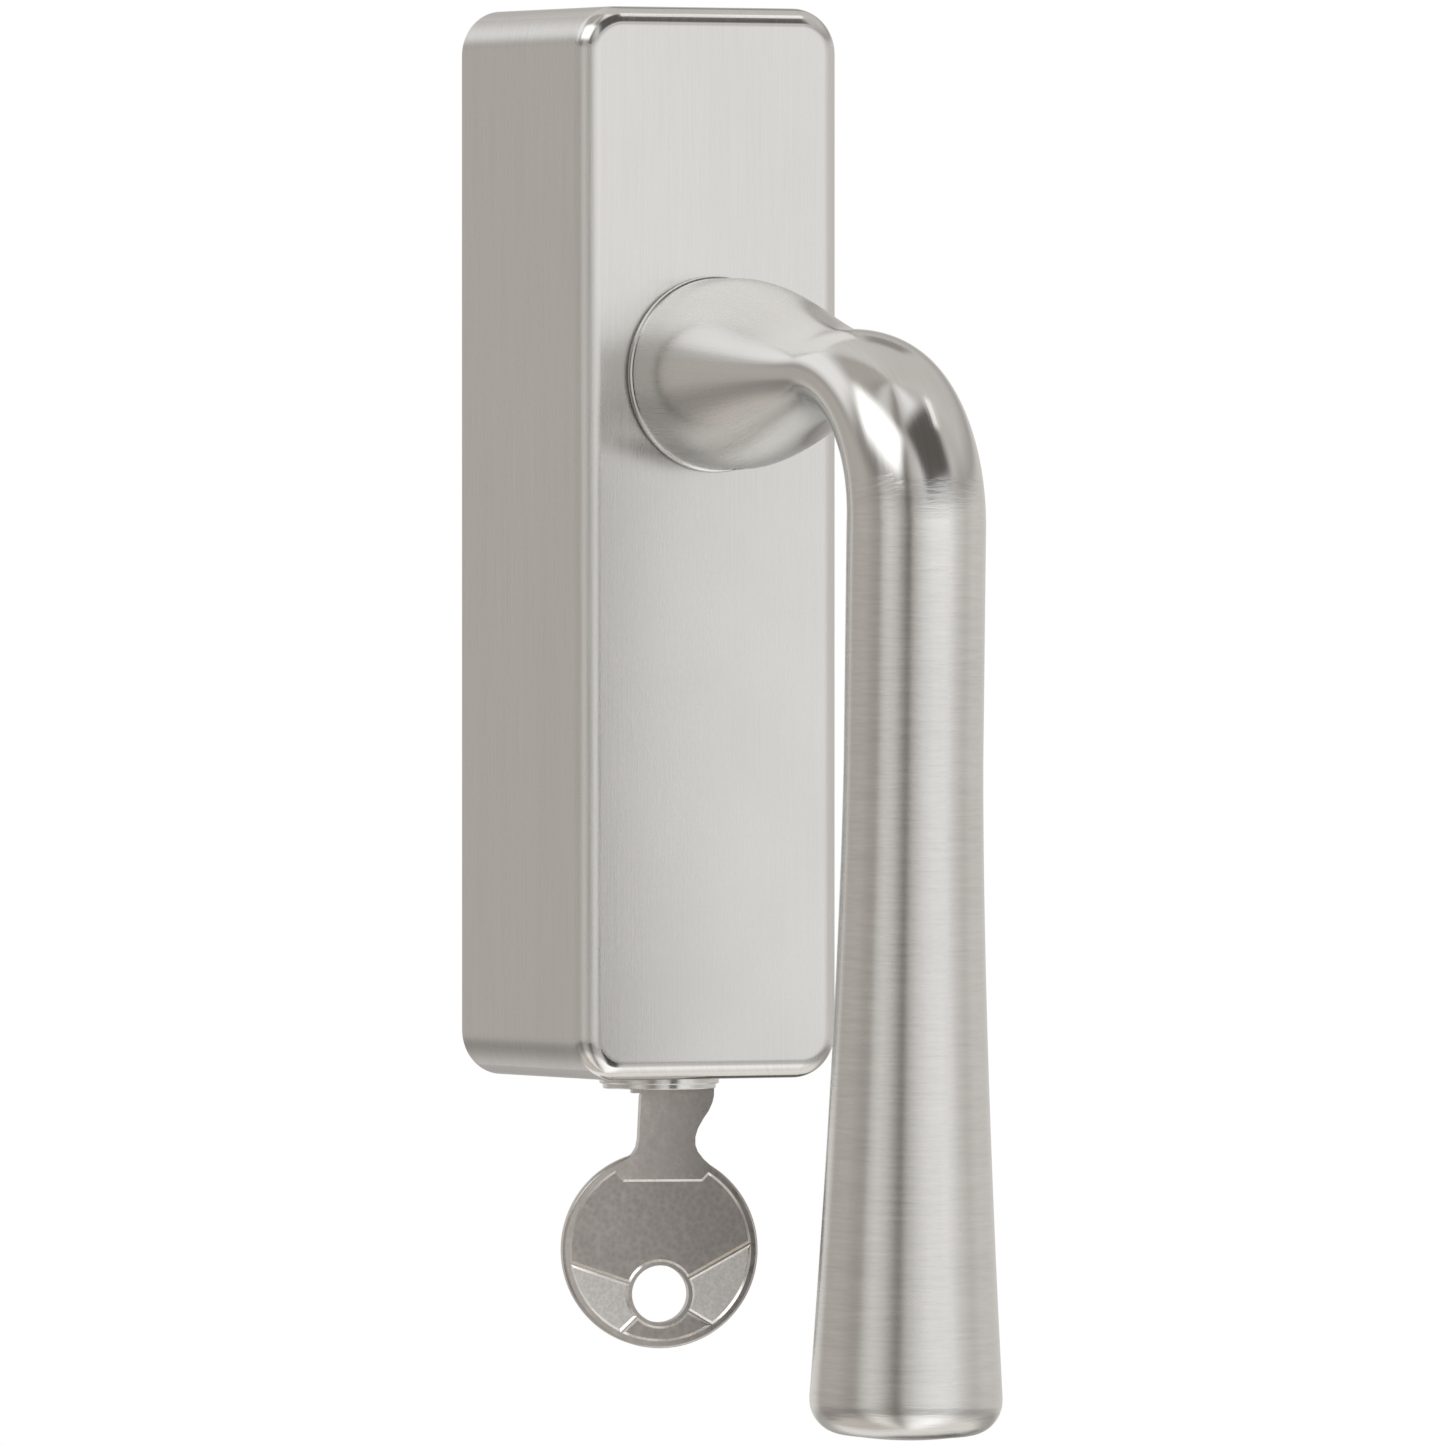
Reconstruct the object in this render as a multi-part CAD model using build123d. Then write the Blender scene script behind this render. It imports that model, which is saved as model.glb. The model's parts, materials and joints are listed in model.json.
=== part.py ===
from build123d import *
import os
from math import cos, radians, sin

# Lockable espagnolette handle for a window sash, in millimetres.
# The origin is where the spindle's axis meets the sash face. +Z is up, and the
# grip stands out from the sash towards -Y. The handle hangs closed, and the key
# is in the lock with its bow turned a little from the plane of the sash.

# ---- casing ----
CASE_W = 35.5
CASE_TOP = 44.5
CASE_BOTTOM = -85.5
CASE_DEPTH = 32.0
CASE_CORNER_R = 5.5
CASE_FRONT_R = 2.5
WALL = 1.5
PLATE_T = 2.5
PLATE_GAP = 0.15
FRONT_PLATE_Y = -26.5
FRONT_PLATE_T = 2.0
FRONT_PLATE_TOP = 41.0
FRONT_PLATE_BOTTOM = -50.0

# ---- handle ----
JOURNAL_R = 8.0
JOURNAL_END_Y = -15.3
RIM_R = 11.9
RIM_Y = -CASE_DEPTH - 0.1
RIM_T = 1.9
NECK_START_Y = -CASE_DEPTH - 4.0
NECK_R = 11.6
ELBOW_Y = -CASE_DEPTH - 34.0
ELBOW_R = 17.5
NECK_X = 8.0
NECK_Z = 5.2
NECK_EASE = (6.0, 35.0)   # distances from the casing between which the neck narrows
GRIP_R = 8.3
GRIP_LEAN = 1.4
GRIP_STRAIGHT = 27.0
GRIP_FLARE = 3.2
FLARE_LENGTH = 77.0
FLARE_POWER = 1.55
GRIP_END_R = 4.5
GRIP_DOME = 0.6
GRUB_Y = -38.5
GRUB_R = 2.0

# ---- spindle, index hub and their bearings ----
SPINDLE_AF = 7.0
SPINDLE_OUT = 24.0
SPINDLE_IN_Y = -44.0
SQUARE_CLEARANCE = 0.03
RUNNING_CLEARANCE = 0.05
HUB_JOURNAL_R = 7.0
HUB_REAR_Y = -0.4
CAM_AF = 15.0
CAM_CORNER_R = 9.6
CAM_Y = -3.1
DISC_REAR_Y = -11.0
DISC_T = 3.0
DISC_R = 15.2
LOCK_HOLE_RADIUS = 11.9
LOCK_HOLE_R = 2.45
BUSH_R = 9.2
HUB_PIN_R = 1.0
HUB_PIN_Y = -6.8

# ---- fixing ----
SCREW_SPACING = 43.0
SCREW_R = 2.5
SCREW_OUT = 20.0
SCREW_SHOULDER_R = 3.0
SCREW_HEAD_R = 4.6
SCREW_HEAD_T = 3.2
ACCESS_HOLE_R = 5.0

COVER_SCREW_Y = -8.0
COVER_SCREW_R = 1.25
COVER_SCREW_HOLE_R = 1.6
COVER_SCREW_SINK_R = 2.9
COVER_SCREW_SINK = 1.3

# ---- module frame ----
PILLARS = [(-12.5, 36.5), (12.5, 36.5), (-4.5, -38.0), (11.5, -38.0)]
PILLAR_R = 2.5
SPIGOT_R = 1.5
SPIGOT_SHORT = 0.2        # how far spigots end below the base plate's back
THREAD_HOLE_R = 1.25
DRIVER_SLOT = 0.6
PILLAR_SCREW_HEAD_R = 2.6
ROD_R = 1.5
ROD_HEIGHTS = [-20.0, -42.0]
ROD_FRONT_SPIGOT_R = 1.0
ROD_REAR_SPIGOT_R = 1.2
POST_SPIGOT_R = 0.9
SPRING_X = 7.56
SPRING_T = 0.6
SPRING_HALF = 17.0
SPRING_Y = (-9.8, -3.8)
POST_R = 1.25
POST_Z = 14.0
POST_END_Y = -10.4

# ---- lock ----
LOCK_Y = -18.0
KEY_TURN = -20.0          # bow's angle from the plane of the sash, at rest
BARREL_R = 8.5
BARREL_TOP = -56.0
BARREL_SHOULDER = CASE_BOTTOM + WALL + 0.05
LOCK_NECK_R = 6.5
LOCK_FACE = -86.9
COLLAR_R = 7.3
COLLAR_STEP_R = 6.9
PLUG_R = 5.0
PLUG_FLANGE_R = 5.8
PLUG_FLANGE_T = 1.0
PLUG_END = -54.0
CLIP_Z = -55.4
CLIP_T = 0.7
CLIP_GROOVE_R = 4.2
BIBLE_HALF_W = 2.75
BIBLE_R = 12.0
PIN_R = 1.2
CHAMBER_R = 1.25
PIN_COUNT = 5
PIN_FIRST_Z = -80.5
PIN_PITCH = 4.5
PIN_ZS = [PIN_FIRST_Z + i * PIN_PITCH for i in range(PIN_COUNT)]
DRIVER_LENGTH = 3.3
CAP_T = 1.0
SADDLE_HALF_W = 8.5
SADDLE_FRONT_Y = -13.5
SADDLE_TOP = -58.0
SLOT_HALF_W = 6.7
SADDLE_SCREW_ZS = (-80.0, -61.5)
SADDLE_SCREW_R = 1.25
SADDLE_SCREW_HOLE_R = 1.6
SADDLE_HEAD_R = 2.8
SADDLE_HEAD_DEPTH = 1.3
CYLINDER_SCREW_Z = -70.0
CYLINDER_SCREW_R = 1.6
CYLINDER_SCREW_HOLE_R = 2.1
CYLINDER_HEAD_R = 3.7
CYLINDER_HEAD_DEPTH = 1.6
SUNK = 0.1                # how far the screw heads lie below the base plate's back

# ---- key ----
BLADE_T = 2.0
KEYWAY_T = 2.2
BLADE_LOW = -3.4
BLADE_HIGH = 3.2
BIT_STEP = 0.6
BLADE_TIP = -59.6
SHOULDER_E = 6.6
SHANK_E = (-2.4, 4.5)
KEY_T = 2.4
BOW_R = 12.0
BOW_Z = -106.6
KEY_HOLE_R = 3.5
KEY_HOLE_Z = -112.0

# ---- tail cam and locking slide ----
CAM_T = 2.5
CAM_R = 5.3
TANG_AF = 5.0
DRIVE_RADIUS = 3.0
DRIVE_ANGLE = 205.0
DRIVE_PIN_R = 1.25
DRIVE_SLOT_CLEARANCE = 0.2
FOOT_Z = (-50.8, -47.5)
FOOT_Y = (-23.5, -13.5)
FOOT_RIGHT = 2.0
BAR_X = (-14.2, -9.6)
BAR_Y = (-22.2, -18.2)
BAR_TOP = 4.0
NOSE_R = 2.2
NOSE_TIP_Y = -14.45


# ---------------------------------------------------------------- helpers
def box(x, y, z):
    """A box given by its limits along each axis."""
    size = (abs(x[1] - x[0]), abs(y[1] - y[0]), abs(z[1] - z[0]))
    centre = (sum(x) / 2, sum(y) / 2, sum(z) / 2)
    return Pos(*centre) * Box(*size)


def rod_y(r, y, x=0.0, z=0.0):
    """A cylinder along Y, between two values of y."""
    return Pos(x, sum(y) / 2, z) * Rot(90, 0, 0) * Cylinder(r, abs(y[1] - y[0]))


def rod_z(r, z, x=0.0, y=0.0):
    """A cylinder along Z, between two values of z."""
    return Pos(x, y, sum(z) / 2) * Cylinder(r, abs(z[1] - z[0]))


def ring_y(r_out, r_in, y, x=0.0, z=0.0):
    """A ring round an axis along Y."""
    margin = 1.0
    return rod_y(r_out, y, x, z) - rod_y(r_in, (min(y) - margin, max(y) + margin), x, z)


def square_y(across, y):
    """A square bar along the spindle's axis."""
    half = across / 2
    return box((-half, half), y, (-half, half))


def rounded_slab(half_w, top, bottom, corner_r, y):
    """An upright oblong with rounded corners, extruded between two values of y."""
    y_low, y_high = min(y), max(y)
    outline = RectangleRounded(2 * half_w, top - bottom, corner_r)
    plane = Plane(origin=(0, y_high, (top + bottom) / 2), x_dir=(1, 0, 0), z_dir=(0, -1, 0))
    return extrude(plane * outline, y_high - y_low)


def group(solids):
    """Separate like solids, kept as one node."""
    return Compound(children=[s if isinstance(s, Solid) else s.solid() for s in solids])


def in_lock(shape):
    """Moves a shape drawn round the Z axis, with the key's plane along X, into the lock at rest."""
    return Pos(0, LOCK_Y, 0) * Rot(0, 0, KEY_TURN) * shape


def save(shape, name):
    export_step(shape, f"parts/{name}.step")


# ---------------------------------------------------------------- casing
def cover():
    """Die-cast shell, open at the back, with a slot in its floor that lets it slide off the lock."""
    outer = rounded_slab(CASE_W / 2, CASE_TOP, CASE_BOTTOM, CASE_CORNER_R, (-CASE_DEPTH, 0))
    front = outer.faces().sort_by(Axis.Y)[0]
    outer = fillet(front.edges(), CASE_FRONT_R)
    inner = rounded_slab(
        CASE_W / 2 - WALL, CASE_TOP - WALL, CASE_BOTTOM + WALL,
        CASE_CORNER_R - WALL, (-CASE_DEPTH + WALL, 1.0),
    )
    shell = outer - inner
    shell -= rod_y(BUSH_R + 0.1, (-CASE_DEPTH - 1, -CASE_DEPTH + WALL + 1))
    floor = (CASE_BOTTOM - 1, CASE_BOTTOM + WALL + 1)
    shell -= rod_z(SLOT_HALF_W, floor, 0, LOCK_Y)
    shell -= box((-SLOT_HALF_W, SLOT_HALF_W), (LOCK_Y, 1), floor)
    shell -= rod_z(COVER_SCREW_HOLE_R, (CASE_TOP - WALL - 1, CASE_TOP + 1), 0, COVER_SCREW_Y)
    sink_middle = CASE_TOP + 0.05 - COVER_SCREW_SINK / 2
    shell -= Pos(0, COVER_SCREW_Y, sink_middle) * Cone(COVER_SCREW_HOLE_R, COVER_SCREW_SINK_R, COVER_SCREW_SINK)
    return shell


def base_plate():
    """Steel plate that lies on the sash and carries everything else, with a lug for the cover's screw."""
    half_w = CASE_W / 2 - WALL - PLATE_GAP
    top, bottom = CASE_TOP - WALL - PLATE_GAP, CASE_BOTTOM + WALL + PLATE_GAP
    plate = rounded_slab(half_w, top, bottom, CASE_CORNER_R - WALL - PLATE_GAP, (-PLATE_T, 0))
    plate += box((-4, 4), (-11.5, -PLATE_T), (top - 4.0, top))
    through = (-PLATE_T - 1, 1)
    plate -= rod_y(BUSH_R - 0.2, through)
    for z in (-SCREW_SPACING / 2, SCREW_SPACING / 2):
        plate -= rod_y(SCREW_SHOULDER_R + 0.1, through, 0, z)
    for x, z in PILLARS:
        plate -= rod_y(SPIGOT_R, through, x, z)
    for z in ROD_HEIGHTS:
        plate -= rod_y(ROD_REAR_SPIGOT_R, through, sum(BAR_X) / 2, z)
    for x, z in post_places():
        plate -= rod_y(POST_SPIGOT_R, through, x, z)
    for z in SADDLE_SCREW_ZS:
        plate -= rod_y(SADDLE_SCREW_HOLE_R, through, 0, z)
        plate -= rod_y(SADDLE_HEAD_R + 0.1, (-SADDLE_HEAD_DEPTH, 1), 0, z)
    plate -= rod_y(CYLINDER_SCREW_HOLE_R, through, 0, CYLINDER_SCREW_Z)
    plate -= rod_y(CYLINDER_HEAD_R + 0.1, (-CYLINDER_HEAD_DEPTH, 1), 0, CYLINDER_SCREW_Z)
    plate -= rod_z(COVER_SCREW_R, (top - 5, top + 1), 0, COVER_SCREW_Y)
    return plate


def cover_screw():
    """Small countersunk screw in the cover's top."""
    top, clearance = CASE_TOP - 0.05, 0.1
    head_t = COVER_SCREW_SINK - clearance
    head = Cone(COVER_SCREW_HOLE_R - clearance / 2, COVER_SCREW_SINK_R - clearance, head_t)
    screw = Pos(0, COVER_SCREW_Y, top - head_t / 2) * head
    screw += rod_z(COVER_SCREW_R, (CASE_TOP - 6.5, top - 1.0), 0, COVER_SCREW_Y)
    slot = (COVER_SCREW_Y - DRIVER_SLOT / 2, COVER_SCREW_Y + DRIVER_SLOT / 2)
    return screw - box((-2, 2), slot, (top - DRIVER_SLOT, top + 1))


def front_plate():
    """Inner plate that holds the neck bush, on pillars from the base plate."""
    half_w = CASE_W / 2 - WALL - 0.4
    y = (FRONT_PLATE_Y - FRONT_PLATE_T, FRONT_PLATE_Y)
    plate = rounded_slab(half_w, FRONT_PLATE_TOP, FRONT_PLATE_BOTTOM, 2.5, y)
    through = (FRONT_PLATE_Y - FRONT_PLATE_T - 1, FRONT_PLATE_Y + 1)
    plate -= rod_y(BUSH_R, through)
    for z in (-SCREW_SPACING / 2, SCREW_SPACING / 2):
        plate -= rod_y(ACCESS_HOLE_R, through, 0, z)
    for x, z in PILLARS:
        plate -= rod_y(THREAD_HOLE_R, through, x, z)
    for z in ROD_HEIGHTS:
        plate -= rod_y(ROD_FRONT_SPIGOT_R, through, sum(BAR_X) / 2, z)
    return plate


def spacer_pillars():
    """Four turned posts, each with a spigot riveted in the base plate and a threaded front end."""
    posts = []
    for x, z in PILLARS:
        post = rod_y(PILLAR_R, (FRONT_PLATE_Y, -PLATE_T), x, z)
        post += rod_y(SPIGOT_R, (-PLATE_T, -SPIGOT_SHORT), x, z)
        post -= rod_y(THREAD_HOLE_R, (FRONT_PLATE_Y - 1, FRONT_PLATE_Y + 6), x, z)
        posts.append(post)
    return group(posts)


def pillar_screws():
    """Four pan-head screws through the front plate."""
    front = FRONT_PLATE_Y - FRONT_PLATE_T
    screws = []
    for x, z in PILLARS:
        screw = rod_y(PILLAR_SCREW_HEAD_R, (front - 1.4, front), x, z)
        screw += rod_y(THREAD_HOLE_R, (front, FRONT_PLATE_Y + 5), x, z)
        slot_depth = (front - 2, front - 0.8)
        screw -= box((x - 3, x + 3), slot_depth, (z - DRIVER_SLOT / 2, z + DRIVER_SLOT / 2))
        screws.append(screw)
    return group(screws)


def guide_rods():
    """Two rods between the plates, on which the locking slide runs."""
    x = sum(BAR_X) / 2
    rods = []
    for z in ROD_HEIGHTS:
        rod = rod_y(ROD_R, (FRONT_PLATE_Y, -PLATE_T), x, z)
        rod += rod_y(ROD_REAR_SPIGOT_R, (-PLATE_T, -SPIGOT_SHORT), x, z)
        rod += rod_y(ROD_FRONT_SPIGOT_R, (FRONT_PLATE_Y - FRONT_PLATE_T, FRONT_PLATE_Y), x, z)
        rods.append(rod)
    return group(rods)


def rear_bush():
    """Flanged ring in the base plate round the hub's rear journal."""
    bush = ring_y(BUSH_R - 0.2, HUB_JOURNAL_R + RUNNING_CLEARANCE, (-PLATE_T, -SPIGOT_SHORT))
    return bush + ring_y(BUSH_R + 0.3, HUB_JOURNAL_R + RUNNING_CLEARANCE, (CAM_Y + 0.1, -PLATE_T))


def neck_bush():
    """Long moulded bush for the handle's journal. Its inner end keeps the hub in place."""
    bore = JOURNAL_R + RUNNING_CLEARANCE
    inner_end = DISC_REAR_Y - DISC_T - 0.1
    bush = ring_y(BUSH_R, bore, (-CASE_DEPTH + 0.05, inner_end))
    return bush + ring_y(BUSH_R + 2.0, bore, (-CASE_DEPTH + WALL + 0.05, FRONT_PLATE_Y - FRONT_PLATE_T))


def post_places():
    """Where the four posts of the detent springs stand, as x and z."""
    x = SPRING_X + SPRING_T + POST_R
    return [(sx * x, sz * POST_Z) for sx in (-1, 1) for sz in (-1, 1)]


def spring_posts():
    """Four posts on the base plate that back the ends of the detent springs."""
    return group([
        rod_y(POST_R, (POST_END_Y, -PLATE_T), x, z) + rod_y(POST_SPIGOT_R, (-PLATE_T, -SPIGOT_SHORT), x, z)
        for x, z in post_places()
    ])


def detent_spring(side):
    """Leaf spring that bears on one flat of the square cam, with its ends hooked outwards round the posts."""
    inner, outer = SPRING_X, SPRING_X + SPRING_T
    leaf = box((inner, outer), SPRING_Y, (-SPRING_HALF, SPRING_HALF))
    for s in (-1, 1):
        leaf += box((inner, outer + 2 * POST_R), SPRING_Y, (s * (SPRING_HALF - SPRING_T), s * SPRING_HALF))
    return leaf if side > 0 else mirror(leaf, Plane.YZ)


def fixing_screws():
    """Two M5 screws, 43 mm apart, that hold the base plate to the gearbox in the sash."""
    screws = []
    for z in (-SCREW_SPACING / 2, SCREW_SPACING / 2):
        screw = rod_y(SCREW_HEAD_R, (-PLATE_T - SCREW_HEAD_T, -PLATE_T), 0, z)
        screw += rod_y(SCREW_SHOULDER_R, (-PLATE_T, 0), 0, z)
        screw += rod_y(SCREW_R, (0, SCREW_OUT), 0, z)
        recess = (-PLATE_T - SCREW_HEAD_T - 1, -PLATE_T - SCREW_HEAD_T + 1.8)
        screw -= box((-0.5, 0.5), recess, (z - 2.2, z + 2.2))
        screw -= box((-2.2, 2.2), recess, (z - 0.5, z + 0.5))
        screws.append(screw)
    return group(screws)


# ---------------------------------------------------------------- handle
def neck_size(t):
    """Half-sizes (x, z) of the neck's oval section, t from 0 at the rim to 1 at the elbow."""
    distance = (NECK_START_Y - ELBOW_Y) * t - CASE_DEPTH - NECK_START_Y
    u = min(1.0, max(0.0, (distance - NECK_EASE[0]) / (NECK_EASE[1] - NECK_EASE[0])))
    ease = u * u * (3 - 2 * u)
    return NECK_R + (NECK_X - NECK_R) * ease, NECK_R + (NECK_Z - NECK_R) * ease


def grip_axis_end():
    """Where the elbow's centre line meets the grip's axis, as y and z."""
    turn = radians(90 + GRIP_LEAN)
    return ELBOW_Y - ELBOW_R * sin(turn), -ELBOW_R * (1 - cos(turn))


def section(origin, direction, half_x, half_in):
    """Oval section of the handle, square to its centre line."""
    plane = Plane(origin=origin, x_dir=(1, 0, 0), z_dir=direction)
    shape = Circle(half_x) if abs(half_x - half_in) < 0.01 else Ellipse(half_x, half_in)
    return plane * shape


def neck_and_elbow():
    """Thick neck that narrows to an oval and turns down through the elbow into the round grip."""
    sections = []
    neck_steps, elbow_steps = 8, 6
    for i in range(neck_steps + 1):
        t = i / neck_steps
        y = NECK_START_Y + (ELBOW_Y - NECK_START_Y) * t
        sections.append(section((0, y, 0), (0, -1, 0), *neck_size(t)))
    for i in range(1, elbow_steps + 1):
        t = i / elbow_steps
        turn = radians((90 + GRIP_LEAN) * t)
        y, z = ELBOW_Y - ELBOW_R * sin(turn), -ELBOW_R * (1 - cos(turn))
        half_x = NECK_X + (GRIP_R - NECK_X) * t
        half_in = NECK_Z + (GRIP_R - NECK_Z) * t
        sections.append(section((0, y, z), (0, -cos(turn), -sin(turn)), half_x, half_in))
    return loft(sections)


def grip():
    """Round grip that flares towards its rounded end, made about Z and set on its leaning axis."""
    y, z = grip_axis_end()
    steps = 8
    flare = [
        (GRIP_R + GRIP_FLARE * (i / steps) ** FLARE_POWER, -GRIP_STRAIGHT - FLARE_LENGTH * i / steps)
        for i in range(steps + 1)
    ]
    slope = GRIP_FLARE * FLARE_POWER / FLARE_LENGTH
    end_r, end_z = flare[-1]
    rim_z = end_z - GRIP_END_R
    with BuildPart() as part:
        with BuildSketch(Plane.XZ):
            with BuildLine():
                Polyline((0, 0), (GRIP_R, 0), flare[0])
                Spline(*flare, tangents=[(0, -1), (slope, -1)])
                Polyline((end_r, end_z), (end_r + slope * GRIP_END_R, rim_z), (0, rim_z - GRIP_DOME), (0, 0))
            make_face()
        revolve(axis=Axis.Z)
        rim = part.edges().filter_by(GeomType.CIRCLE).sort_by(SortBy.RADIUS)[-1]
        fillet(rim, GRIP_END_R - 0.2)
    return Pos(0, y, z) * Rot(GRIP_LEAN, 0, 0) * part.part


def handle():
    """Neck, elbow and grip in one casting, with the journal, the square socket and the grub screw's hole."""
    body = rod_y(RIM_R, (RIM_Y - RIM_T, RIM_Y))
    body = fillet(body.edges(), 0.3)
    body += rod_y(JOURNAL_R, (RIM_Y, JOURNAL_END_Y))
    body += rod_y(NECK_R, (NECK_START_Y, RIM_Y - RIM_T / 2))
    body += neck_and_elbow()
    body += grip()
    body -= square_y(SPINDLE_AF + 2 * SQUARE_CLEARANCE, (SPINDLE_IN_Y - 0.5, JOURNAL_END_Y + 1))
    return body - rod_z(GRUB_R, (-NECK_R - 1, -SPINDLE_AF / 2), 0, GRUB_Y)


def grub_screw():
    """Socket screw under the neck that clamps the handle on the spindle."""
    low, socket_depth = -10.0, 2.5
    screw = rod_z(GRUB_R, (low, -SPINDLE_AF / 2 - 0.01), 0, GRUB_Y)
    hexagon = Pos(0, GRUB_Y, low) * extrude(RegularPolygon(1.15, 6), socket_depth)
    return screw - hexagon


def spindle():
    """Square spindle from the handle's neck, through the hub, out into the sash's gearbox."""
    bar = square_y(SPINDLE_AF, (SPINDLE_IN_Y, SPINDLE_OUT))
    ends = bar.faces().sort_by(Axis.Y)
    bar = chamfer(ends[0].edges() + ends[-1].edges(), 0.6)
    return bar - pin_hole()


def pin_hole():
    """The hub pin's hole, along X."""
    return Pos(0, HUB_PIN_Y, 0) * Rot(0, 90, 0) * Cylinder(HUB_PIN_R, CAM_AF + 2)


def index_hub():
    """Square cam for the detent springs and a disc with four lock holes, in one sintered piece."""
    cam = square_y(CAM_AF, (DISC_REAR_Y, CAM_Y)) & rod_y(CAM_CORNER_R, (DISC_REAR_Y, CAM_Y))
    hub = cam + rod_y(HUB_JOURNAL_R, (CAM_Y, HUB_REAR_Y))
    hub += rod_y(DISC_R, (DISC_REAR_Y - DISC_T, DISC_REAR_Y))
    for i in range(4):
        angle = radians(90 * i)
        x, z = LOCK_HOLE_RADIUS * cos(angle), LOCK_HOLE_RADIUS * sin(angle)
        hub -= rod_y(LOCK_HOLE_R, (DISC_REAR_Y - DISC_T - 1, DISC_REAR_Y + 1), x, z)
    hub -= square_y(SPINDLE_AF + 2 * SQUARE_CLEARANCE, (DISC_REAR_Y - DISC_T - 1, 1))
    return hub - pin_hole()


def hub_pin():
    """Cross pin that keeps the spindle in the hub."""
    return Pos(0, HUB_PIN_Y, 0) * Rot(0, 90, 0) * Cylinder(HUB_PIN_R, CAM_AF - 0.4)


# ---------------------------------------------------------------- lock
def cylinder_body():
    """Lock barrel with a threaded neck through the casing's floor and a rib of pin chambers to the front."""
    body = rod_z(BARREL_R, (BARREL_SHOULDER, BARREL_TOP), 0, LOCK_Y)
    body += rod_z(LOCK_NECK_R, (LOCK_FACE + 0.1, BARREL_SHOULDER), 0, LOCK_Y)
    rib_z = (BARREL_SHOULDER + 0.5, BARREL_TOP - 2)
    body += box((-BIBLE_HALF_W, BIBLE_HALF_W), (LOCK_Y - BIBLE_R, LOCK_Y), rib_z)
    body -= rod_z(PLUG_R + RUNNING_CLEARANCE, (LOCK_FACE - 1, BARREL_TOP + 1), 0, LOCK_Y)
    flange_top = LOCK_FACE + PLUG_FLANGE_T + RUNNING_CLEARANCE
    body -= rod_z(PLUG_FLANGE_R + RUNNING_CLEARANCE, (LOCK_FACE - 1, flange_top), 0, LOCK_Y)
    for z in PIN_ZS:
        body -= rod_y(CHAMBER_R, (LOCK_Y - BIBLE_R - 1, LOCK_Y - 1), 0, z)
    return body - rod_y(CYLINDER_SCREW_R, (LOCK_Y + 6, LOCK_Y + 12), 0, CYLINDER_SCREW_Z)


def collar_nut():
    """Stepped ring nut under the casing, which holds the cover on the lock's neck."""
    top, step = CASE_BOTTOM - 0.02, CASE_BOTTOM - 0.8
    nut = rod_z(COLLAR_R, (step, top), 0, LOCK_Y)
    nut += rod_z(COLLAR_STEP_R, (LOCK_FACE, step), 0, LOCK_Y)
    return nut - rod_z(LOCK_NECK_R, (LOCK_FACE - 1, top + 1), 0, LOCK_Y)


def cylinder_saddle():
    """Block that seats the barrel. Its foot fills the slot in the cover's floor."""
    floor_top = CASE_BOTTOM + WALL + 0.1
    block = box((-SADDLE_HALF_W, SADDLE_HALF_W), (SADDLE_FRONT_Y, -PLATE_T), (floor_top, SADDLE_TOP))
    foot_half = SLOT_HALF_W - 0.15
    block += box((-foot_half, foot_half), (SADDLE_FRONT_Y + 1.5, -PLATE_T), (CASE_BOTTOM, floor_top))
    block += box((-foot_half, foot_half), (-PLATE_T, 0), (CASE_BOTTOM, floor_top - 0.1))
    block -= rod_z(BARREL_R, (floor_top - 3, SADDLE_TOP + 1), 0, LOCK_Y)
    for z in SADDLE_SCREW_ZS:
        block -= rod_y(SADDLE_SCREW_R, (-9, 0), 0, z)
    return block - rod_y(CYLINDER_SCREW_HOLE_R - 0.1, (SADDLE_FRONT_Y - 5, 0), 0, CYLINDER_SCREW_Z)


def saddle_screws():
    """Two screws from the back of the base plate into the saddle."""
    return group([
        rod_y(SADDLE_HEAD_R, (-SADDLE_HEAD_DEPTH, -SUNK), 0, z)
        + rod_y(SADDLE_SCREW_R, (-8.5, -SADDLE_HEAD_DEPTH), 0, z)
        for z in SADDLE_SCREW_ZS
    ])


def cylinder_screw():
    """Screw from the back of the base plate, through the saddle, into the barrel."""
    z, depth = CYLINDER_SCREW_Z, -CYLINDER_HEAD_DEPTH
    return rod_y(CYLINDER_HEAD_R, (depth, -SUNK), 0, z) + rod_y(CYLINDER_SCREW_R, (LOCK_Y + 6.2, depth), 0, z)


def driver_pins():
    """Driver pins in the barrel, on the shear line while the plug is turned."""
    inner = LOCK_Y - PLUG_R - RUNNING_CLEARANCE - 0.03
    return group([rod_y(PIN_R, (inner - DRIVER_LENGTH, inner), 0, z) for z in PIN_ZS])


def pin_springs():
    """Coil springs behind the driver pins."""
    start = LOCK_Y - PLUG_R - RUNNING_CLEARANCE - 0.03 - DRIVER_LENGTH
    end = LOCK_Y - BIBLE_R + CAP_T
    wire_r, coil_r = 0.14, 0.85
    length = start - end - 2.2 * wire_r
    path = Helix(pitch=length / 4, height=length, radius=coil_r)
    section = Plane(origin=path @ 0, z_dir=path % 0) * Circle(wire_r)
    coil = sweep(section, path=path, is_frenet=True)
    return group([Pos(0, start - 1.1 * wire_r, z) * Rot(90, 0, 0) * coil for z in PIN_ZS])


def chamber_caps():
    """Small plugs that close the chambers."""
    outer = LOCK_Y - BIBLE_R
    return group([rod_y(CHAMBER_R, (outer, outer + CAP_T), 0, z) for z in PIN_ZS])


def bit_height(i):
    """Height of the blade under pin i. The cuts step down towards the tip."""
    return BLADE_HIGH - BIT_STEP * (i + 1)


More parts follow.
